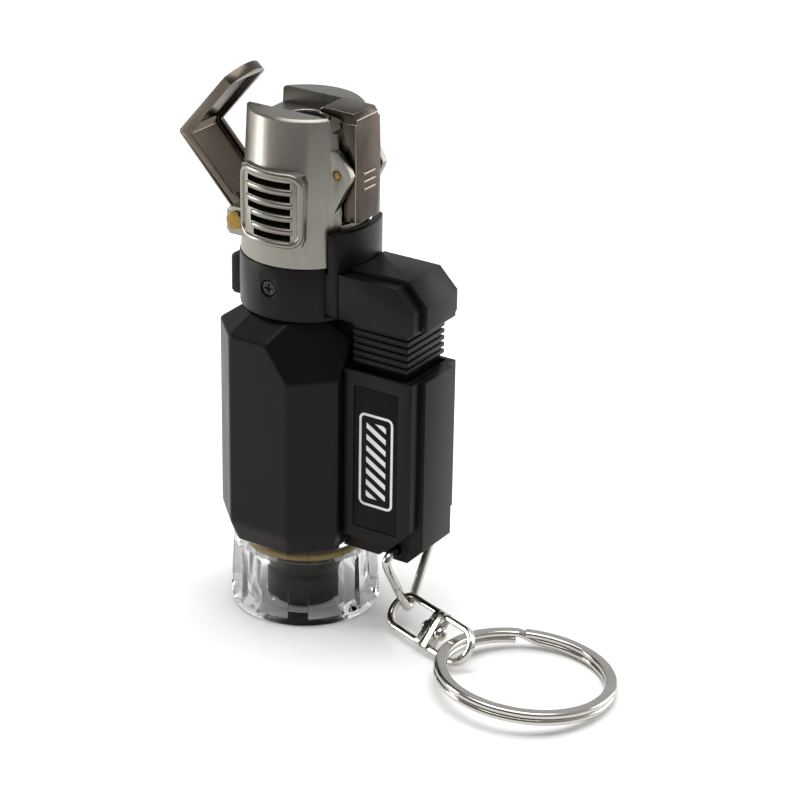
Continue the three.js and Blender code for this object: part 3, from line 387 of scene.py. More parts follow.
def moulded_group():
    """Fine moulded texture with faint handling marks: two noises vary the colour, the
    roughness and the height."""
    group, given, out = shader_group(
        "moulded_surface",
        {"Color": ("NodeSocketColor", (0.02, 0.02, 0.02, 1)), "Worn": ("NodeSocketFloat", 0.2),
         "Roughness": ("NodeSocketFloat", 0.4)},
        {"Color": "NodeSocketColor", "Roughness": "NodeSocketFloat", "Height": "NodeSocketFloat"})
    fine = object_noise(group, 4200, detail=2.0)
    marks = object_noise(group, 150, stretch=(1, 1, 0.35), detail=5.0, roughness=0.65)
    lighter = blend_colour(group, 1.0, given.outputs["Color"], (1.9, 1.85, 1.8, 1), "MULTIPLY")
    fac = remap(group, marks, 0.45, 0.75, 0.0, given.outputs["Worn"])
    group.links.new(blend_colour(group, fac, given.outputs["Color"], lighter),
                    out.inputs["Color"])
    rough = calculate(group, "ADD", given.outputs["Roughness"],
                      remap(group, marks, 0.3, 0.75, -0.05, 0.07))
    rough = calculate(group, "ADD", rough, remap(group, fine, 0.3, 0.7, -0.02, 0.02))
    group.links.new(rough, out.inputs["Roughness"])
    group.links.new(fine, out.inputs["Height"])
    return group


def plated_group():
    """Plated metal: a grain stretched along one direction, cloudy tone, and small pits."""
    group, given, out = shader_group(
        "plated_surface",
        {"Color": ("NodeSocketColor", (0.5, 0.5, 0.5, 1)),
         "Shade": ("NodeSocketColor", (0.3, 0.3, 0.3, 1)),
         "Cloud": ("NodeSocketFloat", 0.3), "Roughness": ("NodeSocketFloat", 0.3),
         "Grain": ("NodeSocketFloat", 0.05)},
        {"Color": "NodeSocketColor", "Roughness": "NodeSocketFloat", "Height": "NodeSocketFloat"})
    grain = object_noise(group, 5200, stretch=(1, 1, 0.012), detail=3.0, roughness=0.7)
    cloud = object_noise(group, 210, stretch=(1, 1, 0.6), detail=4.0, roughness=0.6)
    pits = object_noise(group, 3300, detail=1.0)
    fac = calculate(group, "ADD",
                    remap(group, cloud, 0.38, 0.72, 0.0, given.outputs["Cloud"]),
                    remap(group, pits, 0.66, 0.78, 0.0, 0.25))
    group.links.new(blend_colour(group, fac, given.outputs["Color"], given.outputs["Shade"]),
                    out.inputs["Color"])
    swing = calculate(group, "MULTIPLY", remap(group, grain, 0.25, 0.75, -1.0, 1.0),
                      given.outputs["Grain"])
    rough = calculate(group, "ADD", given.outputs["Roughness"], swing)
    rough = calculate(group, "ADD", rough, remap(group, cloud, 0.35, 0.7, -0.02, 0.05))
    group.links.new(rough, out.inputs["Roughness"])
    shallow_pits = calculate(group, "MULTIPLY", pits, 0.25)
    group.links.new(calculate(group, "SUBTRACT", grain, shallow_pits), out.inputs["Height"])
    return group


def rounded_frame_group():
    """White where a point of the label face, in millimetres from its middle, lies on a rounded
    rectangular line or on one of the slanting bars inside it: the distance to a rounded
    rectangle is the length of the clamped offset from its half size, less the corner radius.
    """
    group, given, out = shader_group(
        "printed_frame",
        {"Across": ("NodeSocketFloat", 0.0), "Up": ("NodeSocketFloat", 0.0)},
        {"Mask": "NodeSocketFloat"})
    across, up = given.outputs["Across"], given.outputs["Up"]

    def rounded_distance(half_across, half_up, corner):
        squares = []
        for value, half in ((across, half_across), (up, half_up)):
            past = calculate(group, "SUBTRACT", calculate(group, "ABSOLUTE", value),
                             half - corner)
            past = calculate(group, "MAXIMUM", past, 0.0)
            squares.append(calculate(group, "MULTIPLY", past, past))
        length = calculate(group, "POWER", calculate(group, "ADD", *squares), 0.5)
        return calculate(group, "SUBTRACT", length, corner)

    from_line = calculate(group, "ABSOLUTE", rounded_distance(2.85, 7.55, 0.85))
    line = remap(group, from_line, 0.17, 0.24, 1.0, 0.0)
    inside = remap(group, rounded_distance(1.75, 6.35, 0.3), -0.04, 0.04, 1.0, 0.0)
    slant = calculate(group, "ADD", up, calculate(group, "MULTIPLY", across, 0.6))
    wave = calculate(group, "PINGPONG", slant, 0.95)
    bars = calculate(group, "MULTIPLY", remap(group, wave, 0.46, 0.54, 0.0, 1.0), inside)
    group.links.new(calculate(group, "MAXIMUM", line, bars), out.inputs["Mask"])
    return group


# ------------------------------------------------------------------ materials

GROUPS = {}
FINISHES = {}


def principled(name):
    """A new material, its node tree and its Principled shader."""
    material = bpy.data.materials.new(name)
    material.use_nodes = True
    tree = material.node_tree
    return material, tree, tree.nodes["Principled BSDF"]


def put_group(tree, group, **values):
    """Places a shared group in a material with its own values."""
    node = tree.nodes.new("ShaderNodeGroup")
    node.node_tree = GROUPS[group]
    for label, value in values.items():
        node.inputs[label].default_value = value
    return node


def bump_from(tree, height, distance, strength):
    """A normal from a height."""
    bump = tree.nodes.new("ShaderNodeBump")
    bump.inputs["Distance"].default_value = distance
    bump.inputs["Strength"].default_value = strength
    tree.links.new(height, bump.inputs["Height"])
    return bump.outputs["Normal"]


def grouped(name, group, distance, strength, **values):
    """A material with its colour, roughness and bump from a shared group, and its shader."""
    material, tree, shader = principled(name)
    node = put_group(tree, group, **values)
    tree.links.new(node.outputs["Color"], shader.inputs["Base Color"])
    tree.links.new(node.outputs["Roughness"], shader.inputs["Roughness"])
    tree.links.new(bump_from(tree, node.outputs["Height"], distance, strength),
                   shader.inputs["Normal"])
    return material, shader


def moulded(name, colour, roughness, worn=0.2, specular=0.16):
    """Moulded plastic or ceramic."""
    material, shader = grouped(name, "moulded", MOULDED_RELIEF, 0.25, Color=(*colour, 1),
                               Roughness=roughness, Worn=worn)
    shader.inputs["Specular IOR Level"].default_value = specular
    return material


def plated(name, colour, shade, roughness, cloud, grain, depth=0.2):
    """Metal of one colour with a darker shade in its clouds and pits."""
    material, shader = grouped(name, "plated", PLATED_RELIEF, depth, Color=(*colour, 1),
                               Shade=(*shade, 1), Cloud=cloud, Roughness=roughness, Grain=grain)
    shader.inputs["Metallic"].default_value = 1.0
    return material


def clear_plastic(name, colour, roughness):
    """Clear acrylic with faint flow marks in its roughness."""
    material, tree, shader = principled(name)
    flow = object_noise(tree, 260, stretch=(1, 1, 0.4), detail=3.0)
    tree.links.new(remap(tree, flow, 0.35, 0.7, *roughness), shader.inputs["Roughness"])
    shader.inputs["Base Color"].default_value = (*colour, 1)
    shader.inputs["Transmission Weight"].default_value = 1.0
    shader.inputs["IOR"].default_value = 1.12
    return material


def label_material():
    """Black plastic with the printed frame, placed from the middle of the label plate."""
    material, tree, shader = principled("printed_label")
    place = tree.nodes.new("ShaderNodeTexCoord")
    split = tree.nodes.new("ShaderNodeSeparateXYZ")
    tree.links.new(place.outputs["Object"], split.inputs[0])
    low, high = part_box("label_plate")
    mid_x = (low.x + high.x) / 2 + 0.1 * MM
    mid_z = (low.z + high.z) / 2 - 0.1 * MM
    printed = put_group(tree, "frame")
    for label, axis, middle in (("Across", "X", mid_x), ("Up", "Z", mid_z)):
        offset = calculate(tree, "SUBTRACT", split.outputs[axis], middle)
        tree.links.new(calculate(tree, "MULTIPLY", offset, 1 / MM), printed.inputs[label])
    plastic = put_group(tree, "moulded", Color=(0.0035, 0.0032, 0.0028, 1), Roughness=0.34,
                        Worn=0.1)
    mask = printed.outputs["Mask"]
    tree.links.new(blend_colour(tree, mask, plastic.outputs["Color"], (0.86, 0.86, 0.85, 1)),
                   shader.inputs["Base Color"])
    tree.links.new(plastic.outputs["Roughness"], shader.inputs["Roughness"])
    height = calculate(tree, "ADD", mask, plastic.outputs["Height"])
    tree.links.new(bump_from(tree, height, MOULDED_RELIEF, 0.2), shader.inputs["Normal"])
    shader.inputs["Specular IOR Level"].default_value = 0.1
    return material


def times(colour, factor):
    """A colour made lighter or darker."""
    return tuple(min(1.0, part * factor) for part in colour)


def make_finishes():
    """Every finish of the torch, by a plain name."""
    GROUPS["moulded"] = moulded_group()
    GROUPS["plated"] = plated_group()
    GROUPS["frame"] = rounded_frame_group()
    black, satin, gun, nickel, brass, seal = (
        tuple(getattr(bpy.context.scene.torch_colours, name))
        for name in ("black", "satin", "gunmetal", "nickel", "brass", "seal"))
    FINISHES.update({
        "black": moulded("black_moulding", black, 0.35, worn=0.35),
        # five times lighter black on the rounded edges: a painted highlight, with the moulding's
        # worn marks on it
        "black_edge_highlight": moulded("black_moulding_painted_highlight", times(black, 5), 0.24, worn=0.5,
                              specular=0.42),
        "grey": moulded("grey_moulding", (0.03, 0.029, 0.028), 0.45),
        "seal": moulded("amber_seal", seal, 0.3, worn=0.4),
        "ceramic": moulded("white_ceramic", (0.78, 0.75, 0.69), 0.3, worn=0.1),
        "rubber": moulded("black_rubber", (0.012, 0.012, 0.012), 0.65),
        "satin": plated("satin_nickel", satin, times(satin, 0.8), 0.33, 0.25, 0.09,
                        depth=sizes().grain),
        # brighter satin nickel on the head's rounded edges: a painted highlight
        "satin_edge_highlight": plated("satin_nickel_painted_highlight", times(satin, 1.35), satin, 0.26, 0.2, 0.03),
        "gun": plated("smoked_nickel", gun, times(gun, 0.45), 0.25, 0.5, 0.04),
        "button": plated("smoked_nickel_button", times(gun, 0.72), times(gun, 0.3), 0.24, 0.85,
                         0.04),
        # brighter smoked nickel on the rounded edges of the lid and button: a painted highlight
        "gun_edge_highlight": plated("smoked_nickel_painted_highlight", times(gun, 2.6), times(gun, 1.2), 0.22,
                           0.5, 0.03),
        "nickel": plated("bright_nickel", nickel, times(nickel, 0.72), 0.12, 0.35, 0.02,
                         depth=0.08),
        "brass": plated("turned_brass", brass, times(brass, 0.55), 0.26, 0.4, 0.04),
        "steel": plated("plain_steel", (0.42, 0.41, 0.40), (0.26, 0.25, 0.25), 0.3, 0.4, 0.05),
        "dark_steel": plated("heat_dark_steel", (0.12, 0.11, 0.105), (0.05, 0.045, 0.045),
                             0.42, 0.6, 0.05),
        "blackened": plated("blackened_screw", (0.05, 0.047, 0.045), (0.02, 0.02, 0.02),
                            0.35, 0.5, 0.04),
        "clear": clear_plastic("clear_acrylic", (0.955, 0.965, 0.96), (0.015, 0.05)),
        # darker, greyer and rougher acrylic for the pillar sides: painted shade
        "clear_side_shade": clear_plastic("clear_acrylic_painted_shade", (0.50, 0.50, 0.485), (0.12, 0.3)),
        "label": label_material(),
    })


# ------------------------------------------------------------------ pieces

def make_clear_base():
    """The fluted base: its outer radius goes from the flute's profile to the pillar's with a
    smooth step over the pillar's side, at even angles."""
    z = np.array([0.0, 0.12, 0.5, 0.72, 2.15, 2.45, 5.0, 9.15, 9.5, 10.5, 10.75, 12.55, 12.75])
    foot_r, rim_r = 11.9, 11.35
    pillar = foot_r + (rim_r - foot_r) * (z - z[2]) / (z[-1] - z[2])
    pillar[:2], pillar[-1] = (11.42, 11.66), 11.2
    flute = np.array([11.42, 11.66, foot_r, 11.82, 10.4, 10.25, 10.25, 10.25, 10.35, 11.32,
                      11.44, 11.36, 11.2])
    inner = np.array([[10.8, 12.75], [10.65, 12.6], [10.65, 10.55], [10.6, 10.5], [8.95, 10.5],
                      [8.9, 10.4], [8.9, 1.6], [8.7, 1.4], [6.45, 1.4], [6.35, 1.3],
                      [6.35, 0.1], [6.45, 0.0], [9.0, 0.0]])
    first, pitch, half = 28.5, 360 / PILLARS, 8.2
    soft = sizes().pillar_edge
    across = np.linspace(-soft / 2, soft / 2, 5)
    sides = np.concatenate([first + k * pitch + s * (half + across)
                            for k in range(PILLARS) for s in (-1, 1)])
    even = np.linspace(0, 360, 360, endpoint=False)
    angle = np.unique(np.concatenate([even, sides % 360]).round(3))
    away = np.abs((angle - first + pitch / 2) % pitch - pitch / 2)
    t = np.clip((half + soft / 2 - away) / soft, 0, 1)
    weight = smooth_step(t)[:, None]
    outer = weight * pillar + (1 - weight) * flute
    radius = np.concatenate([outer, np.broadcast_to(inner[:, 0], (len(angle), len(inner)))], 1)
    height = np.concatenate([z, inner[:, 1]])
    verts, faces = ring_grid(turned(np.radians(angle)[:, None], radius, height))
    obj = add_piece("clear_base_moulding", verts, faces, "torch_body", FINISHES["clear"],
                    ["clear_base"], sharp=38)
    # the pillar sides take the darker, greyer acrylic: painted shade
    obj.data.materials.append(FINISHES["clear_side_shade"])
    side = np.abs(np.roll(weight[:, 0], -1) - weight[:, 0]) > 0.04
    row = np.arange(len(height))
    wall = (row > 3) & (row < len(z) - 1)
    obj.data.polygons.foreach_set("material_index",
                                  (side[:, None] & wall[None]).astype(np.int32).ravel())


def make_base_insides():
    """The stepped filler core and the round seal, both turned profiles."""
    core = soften([[3.1, 0.3], [6.1, 0.3], [6.1, 5.2], [5.4, 5.8], [5.4, 8.4], [0.02, 8.4],
                   [0.02, 4.6], [3.1, 4.6]], 0.25)
    verts, faces = ring_grid(lathe(core))
    add_piece("filler_core_moulding", verts, faces, "torch_body", FINISHES["grey"],
              ["filler_core"])
    low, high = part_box("seal_ring")
    half_h = (high.z - low.z) / 2 / MM
    section = rounded_section(0.55, half_h * 0.6, half_h * 0.5, 5)
    section += [high.x / MM - 0.95, low.z / MM + half_h * 0.62]
    verts, faces = ring_grid(lathe(section))
    add_piece("seal_ring_moulding", verts, faces, "torch_body", FINISHES["seal"],
              ["seal_ring"])


def make_housing():
    """The faceted housing. Each flat face is a plane: along a level ray at height z its
    distance is (d - nz z) / (nx cos a + ny sin a). The radius is the power mean of all the
    planes' distances with a large negative power, which rounds every edge a little."""
    bottom, top = 13.0, 50.9
    half_x, half_y = 11.0, 13.0
    corner = (half_x + half_y - 5.65) / math.sqrt(2)
    foot_tilt = math.atan2(1.45, 3.6)
    shoulder_tilt = math.atan2(3.9, 2.9)
    planes = []
    for k in range(8):
        a = k * math.pi / 4
        distance = {0: half_x, 2: half_y}.get(k % 4, corner)
        planes += [(a, 0.0, distance, bottom), (a, -foot_tilt, distance, 16.6),
                   (a, shoulder_tilt, distance, 48.0)]
    planes += [(side * math.pi / 4, math.radians(27.4), corner, 42.6) for side in (-1, 1)]
    z = np.concatenate([np.linspace(bottom, 16.2, 16), np.linspace(16.3, 17.0, 10),
                        np.linspace(17.2, 42.0, 60), np.linspace(42.2, 47.6, 26),
                        np.linspace(47.7, top, 28)])
    count, power, scale, grazing = 560, 110.0, 10.0, 0.2
    a = np.linspace(0, 2 * np.pi, count, endpoint=False)[:, None]
    total = np.zeros((count, len(z)))
    for turn, tilt, distance, level in planes:
        facing = np.cos(a - turn)
        reach = distance - (z[None] - level) * math.tan(tilt)
        ray = np.where(facing > grazing, reach / np.maximum(facing, grazing), 1e3)
        total += (np.maximum(ray, 0.1) / scale) ** -power
    wall = scale * total ** (-1 / power)
    # the rim and the foot are rounded by two rings, then the mouth and the bore close the form
    outer_step, inner_step, bore_r, mouth_r = 0.12, 0.35, 9.0, 6.2
    foot = [np.full(count, bore_r), wall[:, 0] - inner_step, wall[:, 0] - outer_step]
    rim = [wall[:, -1] - outer_step, wall[:, -1] - inner_step, np.full(count, mouth_r),
           np.full(count, mouth_r), np.full(count, bore_r)]
    radius = np.concatenate([np.stack(foot, 1), wall, np.stack(rim, 1)], 1)
    z[0], z[-1] = bottom + 0.12, top - 0.12
    height = np.concatenate([[bottom, bottom, bottom + 0.03], z,
                             [top - 0.03, top, top, 47.7, 46.5]])
    verts, faces = ring_grid(turned(a, radius, height))
    add_piece("housing_moulding", verts, faces, "torch_body", FINISHES["black"],
              ["tank_housing"])


def make_collar():
    """The collar and the riser are one moulding, so the riser's sides are moved out to meet
    the collar."""
    finished_copy("collar", "torch_body", FINISHES["black"], sizes().edge)
    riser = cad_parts["trigger_guide"].data.copy()
    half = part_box("trigger_guide")[1].y
    moved = np.empty(len(riser.vertices) * 3)
    riser.vertices.foreach_get("co", moved)
    moved = moved.reshape(-1, 3)
    outside = np.abs(moved[:, 1]) > half - 0.08 * MM
    moved[outside, 1] = np.sign(moved[outside, 1]) * (half + 0.27 * MM)
    riser.vertices.foreach_set("co", moved.ravel())
    finished_copy("trigger_guide", "torch_body", FINISHES["black"], sizes().edge,
                  shape=riser)
    finished_copy("flame_lock", "flame_lock", FINISHES["black"], sizes().edge,
                  highlight_finish=FINISHES["black_edge_highlight"])
    for node in ("collar_screw_near", "collar_screw_far"):
        finished_copy(node, "torch_body", FINISHES["blackened"], 0.06 * MM, segments=2)


def on_head(x, z, radius):
    """Points of the vent frame's face, which is part of an upright cylinder."""
    return np.stack([x, -np.sqrt(radius ** 2 - x ** 2), z], -1)


def outward(path):
    """The level direction away from the upright axis at each point."""
    out = path * [1, 1, 0]
    return out / np.linalg.norm(out, axis=1, keepdims=True)


def make_vent_frame(head):
    """The raised rim of the vent frame and the rounded bars between its slots. The rim
    follows a rounded rectangle laid on the head's cylinder, sampled at even lengths."""
    line = rounded_section(5.3, 5.4, 1.7, 9) + [-0.35, 68.85]
    line = even_lengths(np.vstack([line, line[:1]]), np.linspace(0, 1, 150, endpoint=False))
    path = on_head(line[:, 0], line[:, 1], 10.02)
    tangent = np.roll(path, -1, 0) - np.roll(path, 1, 0)
    tangent /= np.linalg.norm(tangent, axis=1, keepdims=True)
    out = outward(path)
    side = np.cross(tangent, out)
    section = circle_section(0.52, 16)
    add_shape(head, *ring_grid(path[:, None] + section[None, :, :1] * side[:, None]
                               + section[None, :, 1:] * out[:, None]))
    top_slot, slot_pitch, right_end = 72.8, 2.05, 3.8
    for row, left_end in enumerate((-4.3, -4.3, -3.0, -3.0)):
        x = np.linspace(left_end, right_end, 24)
        path = on_head(x, np.full_like(x, top_slot - slot_pitch * (row + 0.5)), 9.93)
        add_shape(head, *capped_tube(path, circle_section(0.5, 14), outward(path)))


def make_head():
    """The burner head with its vent frame."""
    head = finished_copy("burner_head", "torch_body", FINISHES["satin"], sizes().head_edge,
                         highlight_finish=FINISHES["satin_edge_highlight"])
    make_vent_frame(head)


def make_burner():
    """The flame cup is a turned profile with a rolled lip."""
    cup = soften([[2.5, 72.2], [3.55, 73.4], [3.55, 80.2], [3.38, 80.55], [3.05, 80.5],
                  [2.95, 80.2], [2.95, 74.2], [2.5, 73.2]], 0.12)
    verts, faces = ring_grid(lathe(cup))
    add_piece("flame_cup_spinning", verts, faces, "torch_body", FINISHES["satin"],
              ["flame_cup"])
    paint_nodes({"flame_grid": "dark_steel", "mixing_tube": "brass", "gas_jet": "brass",
                 "electrode_insulator": "ceramic", "electrode": "steel"})


def make_lid():
    """The lid and its brass pin."""
    finished_copy("lid", "lid", FINISHES["gun"], sizes().cast_edge,
                  highlight_finish=FINISHES["gun_edge_highlight"])
    finished_copy("lid_pin", "torch_body", FINISHES["brass"], PIN_EDGE)


def make_button():
    """The button, with three raised bars for the thumb along its sloping face."""
    button = finished_copy("release_button", "release_button", FINISHES["button"],
                           sizes().cast_edge, highlight_finish=FINISHES["gun_edge_highlight"])
    top_bar, face_x, slope = 74.0, 11.24, 0.0355
    for height in (71.6, 72.8, top_bar):
        y = np.linspace(-1.7, 1.7, 8)
        x = np.full_like(y, face_x - (height - top_bar) * slope)
        path = np.stack([x, y, np.full_like(y, height)], -1)
        add_shape(button, *capped_tube(path, circle_section(0.24, 12), [1.0, 0, 0]), 1)
    finished_copy("button_pin", "torch_body", FINISHES["brass"], PIN_EDGE)


def make_trigger():
    """The sliding trigger with its ribs."""
    finished_copy("trigger", "trigger", FINISHES["black"], sizes().edge,
                  highlight_finish=FINISHES["black_edge_highlight"])


def make_grip():
    """The grip block and its printed label."""
    finished_copy("grip_block", "torch_body", FINISHES["black"], sizes().edge,
                  highlight_finish=FINISHES["black_edge_highlight"])
    finished_copy("label_plate", "torch_body", FINISHES["label"], 0.05 * MM)


def make_insides():
    """The tank, the gas path and the igniter."""
    paint_nodes({
        "fuel_tank": "grey", "fill_valve": "brass", "flame_adjuster": "steel",
        "lid_spring": "steel", "button_spring": "steel", "gas_valve": "brass",
        "dip_tube": "clear", "valve_stem": "steel", "gas_hose": "rubber", "gas_lever": "steel",
        "lever_pin": "steel", "piezo_body": "grey", "piezo_plunger": "black",
        "trigger_spring": "steel", "ignition_wire": "rubber"})


# ------------------------------------------------------------------ ring and swivel

# swivel frame in millimetres: its start, its turn off the X axis, and the turn of each link
SWIVEL_START = np.array([17.9, -1.1, 3.45])
SWIVEL_YAW = -20.0
UPPER_ROLL, LOWER_ROLL = 44.0, 52.0
LINK_LENGTH, LOWER_LENGTH, LINK_HALF, LINK_WIRE = 9.6, 8.3, 2.75, 0.62
PLATE_T, PLATE_GAP = 1.0, 0.45


def on_swivel(points, roll):
    """Points of the swivel's own frame turned about it and set in place."""
    turn = Matrix.Rotation(math.radians(SWIVEL_YAW), 3, "Z") @ Matrix.Rotation(
        math.radians(roll), 3, "X")
    return points @ np.array(turn).T + SWIVEL_START


def link_points(length):
    """Centre line of a link: two straight legs joined by a half circle."""
    r = LINK_HALF
    a = np.linspace(np.pi / 2, 3 * np.pi / 2, 36)
    arc = np.stack([r + r * np.cos(a), r * np.sin(a), np.zeros_like(a)], -1)
    x = np.linspace(length - 0.2, r + 0.05, 10)[:, None]
    leg = np.concatenate([x, np.full_like(x, r), np.zeros_like(x)], 1)
    other = leg[::-1] * [1, -1, 1]
    return np.concatenate([leg, arc, other])


def make_link(node, length, roll, lower=False):
    """A pressed link: a flattened wire bent to a U and a plate with rounded ends. The lower
    link is turned end for end, so that its plate faces the upper one's."""
    path = link_points(length)
    plate_x = length - PLATE_T
    if lower:
        plate_x = LINK_LENGTH + PLATE_GAP
        path = path * [-1, -1, 1] + [plate_x + length, 0, 0]
    wire = rounded_section(LINK_WIRE * 0.82, LINK_WIRE, LINK_WIRE * 0.55, 5)
    verts, faces = capped_tube(path, wire, [0.0, 0, 1])
    plate = rounded_section(LINK_HALF + LINK_WIRE - 0.03, 1.12, 0.7, 8)
    chamfered = ((0.0, 0.9), (0.1, 1.0), (PLATE_T - 0.1, 1.0), (PLATE_T, 0.9))
    plate_verts, plate_faces = capped(np.stack([
        np.insert(plate * scale, 0, plate_x + x, axis=1) for x, scale in chamfered]))
    faces += [[i + len(verts) for i in face] for face in plate_faces]
    verts = np.concatenate([verts, plate_verts])
    add_piece(node + "_link", on_swivel(verts, roll), faces, node, FINISHES["nickel"], [node],
              sharp=METAL_SHARP)


def make_key_loop():
    """The loop of round wire: a curve through given points whose ends nearly meet."""
    x, top, foot, half, corner = 19.7, 15.1, 3.4, 6.6, 1.7
    middle = (top + foot) / 2
    near_foot, bend = foot + 0.8, top - corner - 0.7
    path = smooth_path([
        [x, -0.55 * half, middle - 0.9], [x, -1.1, near_foot], [x, 0, foot],
        [x, 1.1, near_foot], [x, 0.55 * half, middle - 0.9], [x, half - 0.35, bend],
        [x, half - 0.1, top - 0.8], [x, half - corner, top], [x, half - 2 * corner, top],
        [x, -half + 2 * corner, top], [x, -half + corner, top], [x, -half + 0.1, top - 0.8],
        [x, -half + 0.35, bend], [x, -0.55 * half - 0.08, middle - 0.75]], 190)
    verts, faces = capped_tube(path, circle_section(0.69), [1.0, 0, 0])
    add_piece("key_loop_wire", verts, faces, "key_loop", FINISHES["nickel"],
              ["key_loop"], sharp=METAL_SHARP)


def make_rivet():
    """The rivet: a profile of radius and distance along the swivel, turned about it, with a
    low head inside the upper link and a domed one inside the lower link."""
    inner = LINK_LENGTH - PLATE_T - 0.25
    outer = LINK_LENGTH + PLATE_GAP + PLATE_T + 0.25
    head_r, shank_r, pole_r = 1.12, 0.6, 0.02
    profile = np.array([
        [pole_r, inner - 0.78], [0.5, inner - 0.74], [0.9, inner - 0.55], [head_r, inner - 0.2],
        [head_r, inner], [shank_r, inner], [shank_r, outer], [head_r, outer],
        [head_r, outer + 0.25], [0.9, outer + 0.7], [0.5, outer + 0.93],
        [pole_r, outer + 0.98]])
    verts, faces = ring_grid(np.roll(lathe(profile, 40), 1, axis=-1))
    add_piece("swivel_rivet_turned", on_swivel(verts, 0), faces, "swivel_upper",
              FINISHES["nickel"], ["swivel_rivet"], sharp=METAL_SHARP)


def make_split_ring():
    """Two turns of flat wire. The height of the centre line is level for most of each turn
    and steps from the lower turn to the upper one over a short angle with a smooth step."""
    radius, outer_r, low_turn, rise = 13.04, 14.0, 0.53, 1.03
    step_start, step_run, end_gap = 1.9 * np.pi, 0.32, 0.12
    lean, yaw, first_end = math.radians(5.6), math.radians(55), math.radians(72)
    a = np.linspace(0.0, 4 * np.pi - end_gap, 640)
    z = low_turn + rise * smooth_step(np.clip((a - step_start) / step_run, 0, 1))
    path = np.stack([radius * np.cos(a + first_end), radius * np.sin(a + first_end), z], -1)
    verts, faces = capped_tube(path, rounded_section(0.93, 0.5, 0.46, 7), [0.0, 0, 1])
    tilt = Matrix.Rotation(yaw, 3, "Z") @ Matrix.Rotation(lean, 3, "Y")
    place = np.array([44.95, -6.95, outer_r * math.sin(lean)])
    add_piece("split_ring_coil", verts @ np.array(tilt).T + place, faces, "split_ring",
              FINISHES["nickel"], ["split_ring"], sharp=METAL_SHARP)


def make_key_hardware():
    """The loop of round wire, the two links, the rivet and the split ring."""
    make_key_loop()
    make_link("swivel_upper", LINK_LENGTH, UPPER_ROLL)
    make_link("swivel_lower", LOWER_LENGTH, LOWER_ROLL, lower=True)
    make_rivet()
    make_split_ring()


# ------------------------------------------------------------------ stage

LIT_POINT = (0.01, -0.002, 0.045)


def soft_light(name, where, width, height, power):
    """A rectangular panel that faces the middle of the torch."""
    data = bpy.data.lights.new(name, "AREA")
    data.shape = "RECTANGLE"
    data.size, data.size_y = width, height
    data.energy = power
    obj = bpy.data.objects.new(name, data)
    obj.location = where
    obj.rotation_mode = "QUATERNION"
    obj.rotation_quaternion = (Vector(LIT_POINT) - Vector(where)).to_track_quat("-Z", "Y")
    bpy.context.scene.collection.objects.link(obj)


def make_floor():
    """A wide pale floor just under the torch."""
    line = np.linspace(-3, 3, 9)
    gx, gy = np.meshgrid(line, line, indexing="ij")
    points = np.stack([gx, gy, np.full_like(gx, min(CAD_LOW.z, 0.0) - 0.05 * MM)], -1)
    verts, faces = ring_grid(points, close_u=False, close_v=False)
    mesh = bpy.data.meshes.new("floor")
    mesh.from_pydata(verts.tolist(), [], faces)
    floor = bpy.data.objects.new("floor", mesh)
    bpy.context.scene.collection.objects.link(floor)
    paper, _, shader = principled("pale_floor")
    shader.inputs["Base Color"].default_value = (0.93, 0.93, 0.925, 1)
    shader.inputs["Roughness"].default_value = 0.85
    mesh.materials.append(paper)


def make_studio():
    """A white surround that is dimmer behind the camera, and three soft panels."""
    world = bpy.data.worlds.new("studio")
    world.use_nodes = True
    tree = world.node_tree
    split = tree.nodes.new("ShaderNodeSeparateXYZ")
    tree.links.new(tree.nodes.new("ShaderNodeTexCoord").outputs["Generated"], split.inputs[0])
    tree.links.new(remap(tree, split.outputs["Y"], -0.8, 0.9, 0.14, 0.62),
                   tree.nodes["Background"].inputs["Strength"])
    tree.nodes["Background"].inputs["Color"].default_value = (1, 1, 1, 1)
    bpy.context.scene.world = world
    soft_light("left_panel", (-0.42, -0.22, 0.13), 0.14, 0.26, 1.3)
    soft_light("right_panel", (0.28, 0.38, 0.15), 0.3, 0.28, 0.9)
    soft_light("top_panel", (0.0, 0.02, 0.65), 0.6, 0.6, 4.6)
    bpy.context.scene.view_settings.view_transform = "Standard"


def make_camera():
    """The camera looks along its azimuth and elevation, turned a little about its own axis."""
    camera = bpy.data.cameras.new("camera")
    camera.sensor_width = 36.0
    camera.lens = 123.7
    camera.clip_start, camera.clip_end = 0.01, 20.0
    obj = bpy.data.objects.new("camera", camera)
    az, el, roll = math.radians(32.33), math.radians(24.34), math.radians(0.98)
    forward = Vector((-math.sin(az) * math.cos(el), math.cos(az) * math.cos(el), -math.sin(el)))
    right = Vector((math.cos(az), math.sin(az), 0.0))
    up = right.cross(forward)
    side = right * math.cos(roll) + up * math.sin(roll)
    top = up * math.cos(roll) - right * math.sin(roll)
    obj.rotation_mode = "QUATERNION"
    obj.rotation_quaternion = Matrix((side, top, -forward)).transposed().to_quaternion()
    obj.location = (0.22177, -0.32289, 0.21125)
    bpy.context.scene.collection.objects.link(obj)
    bpy.context.scene.camera = obj


def make_stage():
    """Floor, soft lights and the camera."""
    make_floor()
    make_studio()
    make_camera()


# ------------------------------------------------------------------ operators

class TORCH_OT_finishes(bpy.types.Operator):
    """Make every material of the torch"""
    bl_idname = "torch.finishes"
    bl_label = "Finishes"

    def execute(self, context):
        make_finishes()
        return {"FINISHED"}


class TORCH_OT_base(bpy.types.Operator):
    """Make the clear base, its core and its seal"""
    bl_idname = "torch.base"
    bl_label = "Clear base"

    def execute(self, context):
        make_clear_base()
        make_base_insides()
        return {"FINISHED"}


class TORCH_OT_housing(bpy.types.Operator):
    """Make the faceted housing"""
    bl_idname = "torch.housing"
    bl_label = "Housing"

    def execute(self, context):
        make_housing()
        return {"FINISHED"}


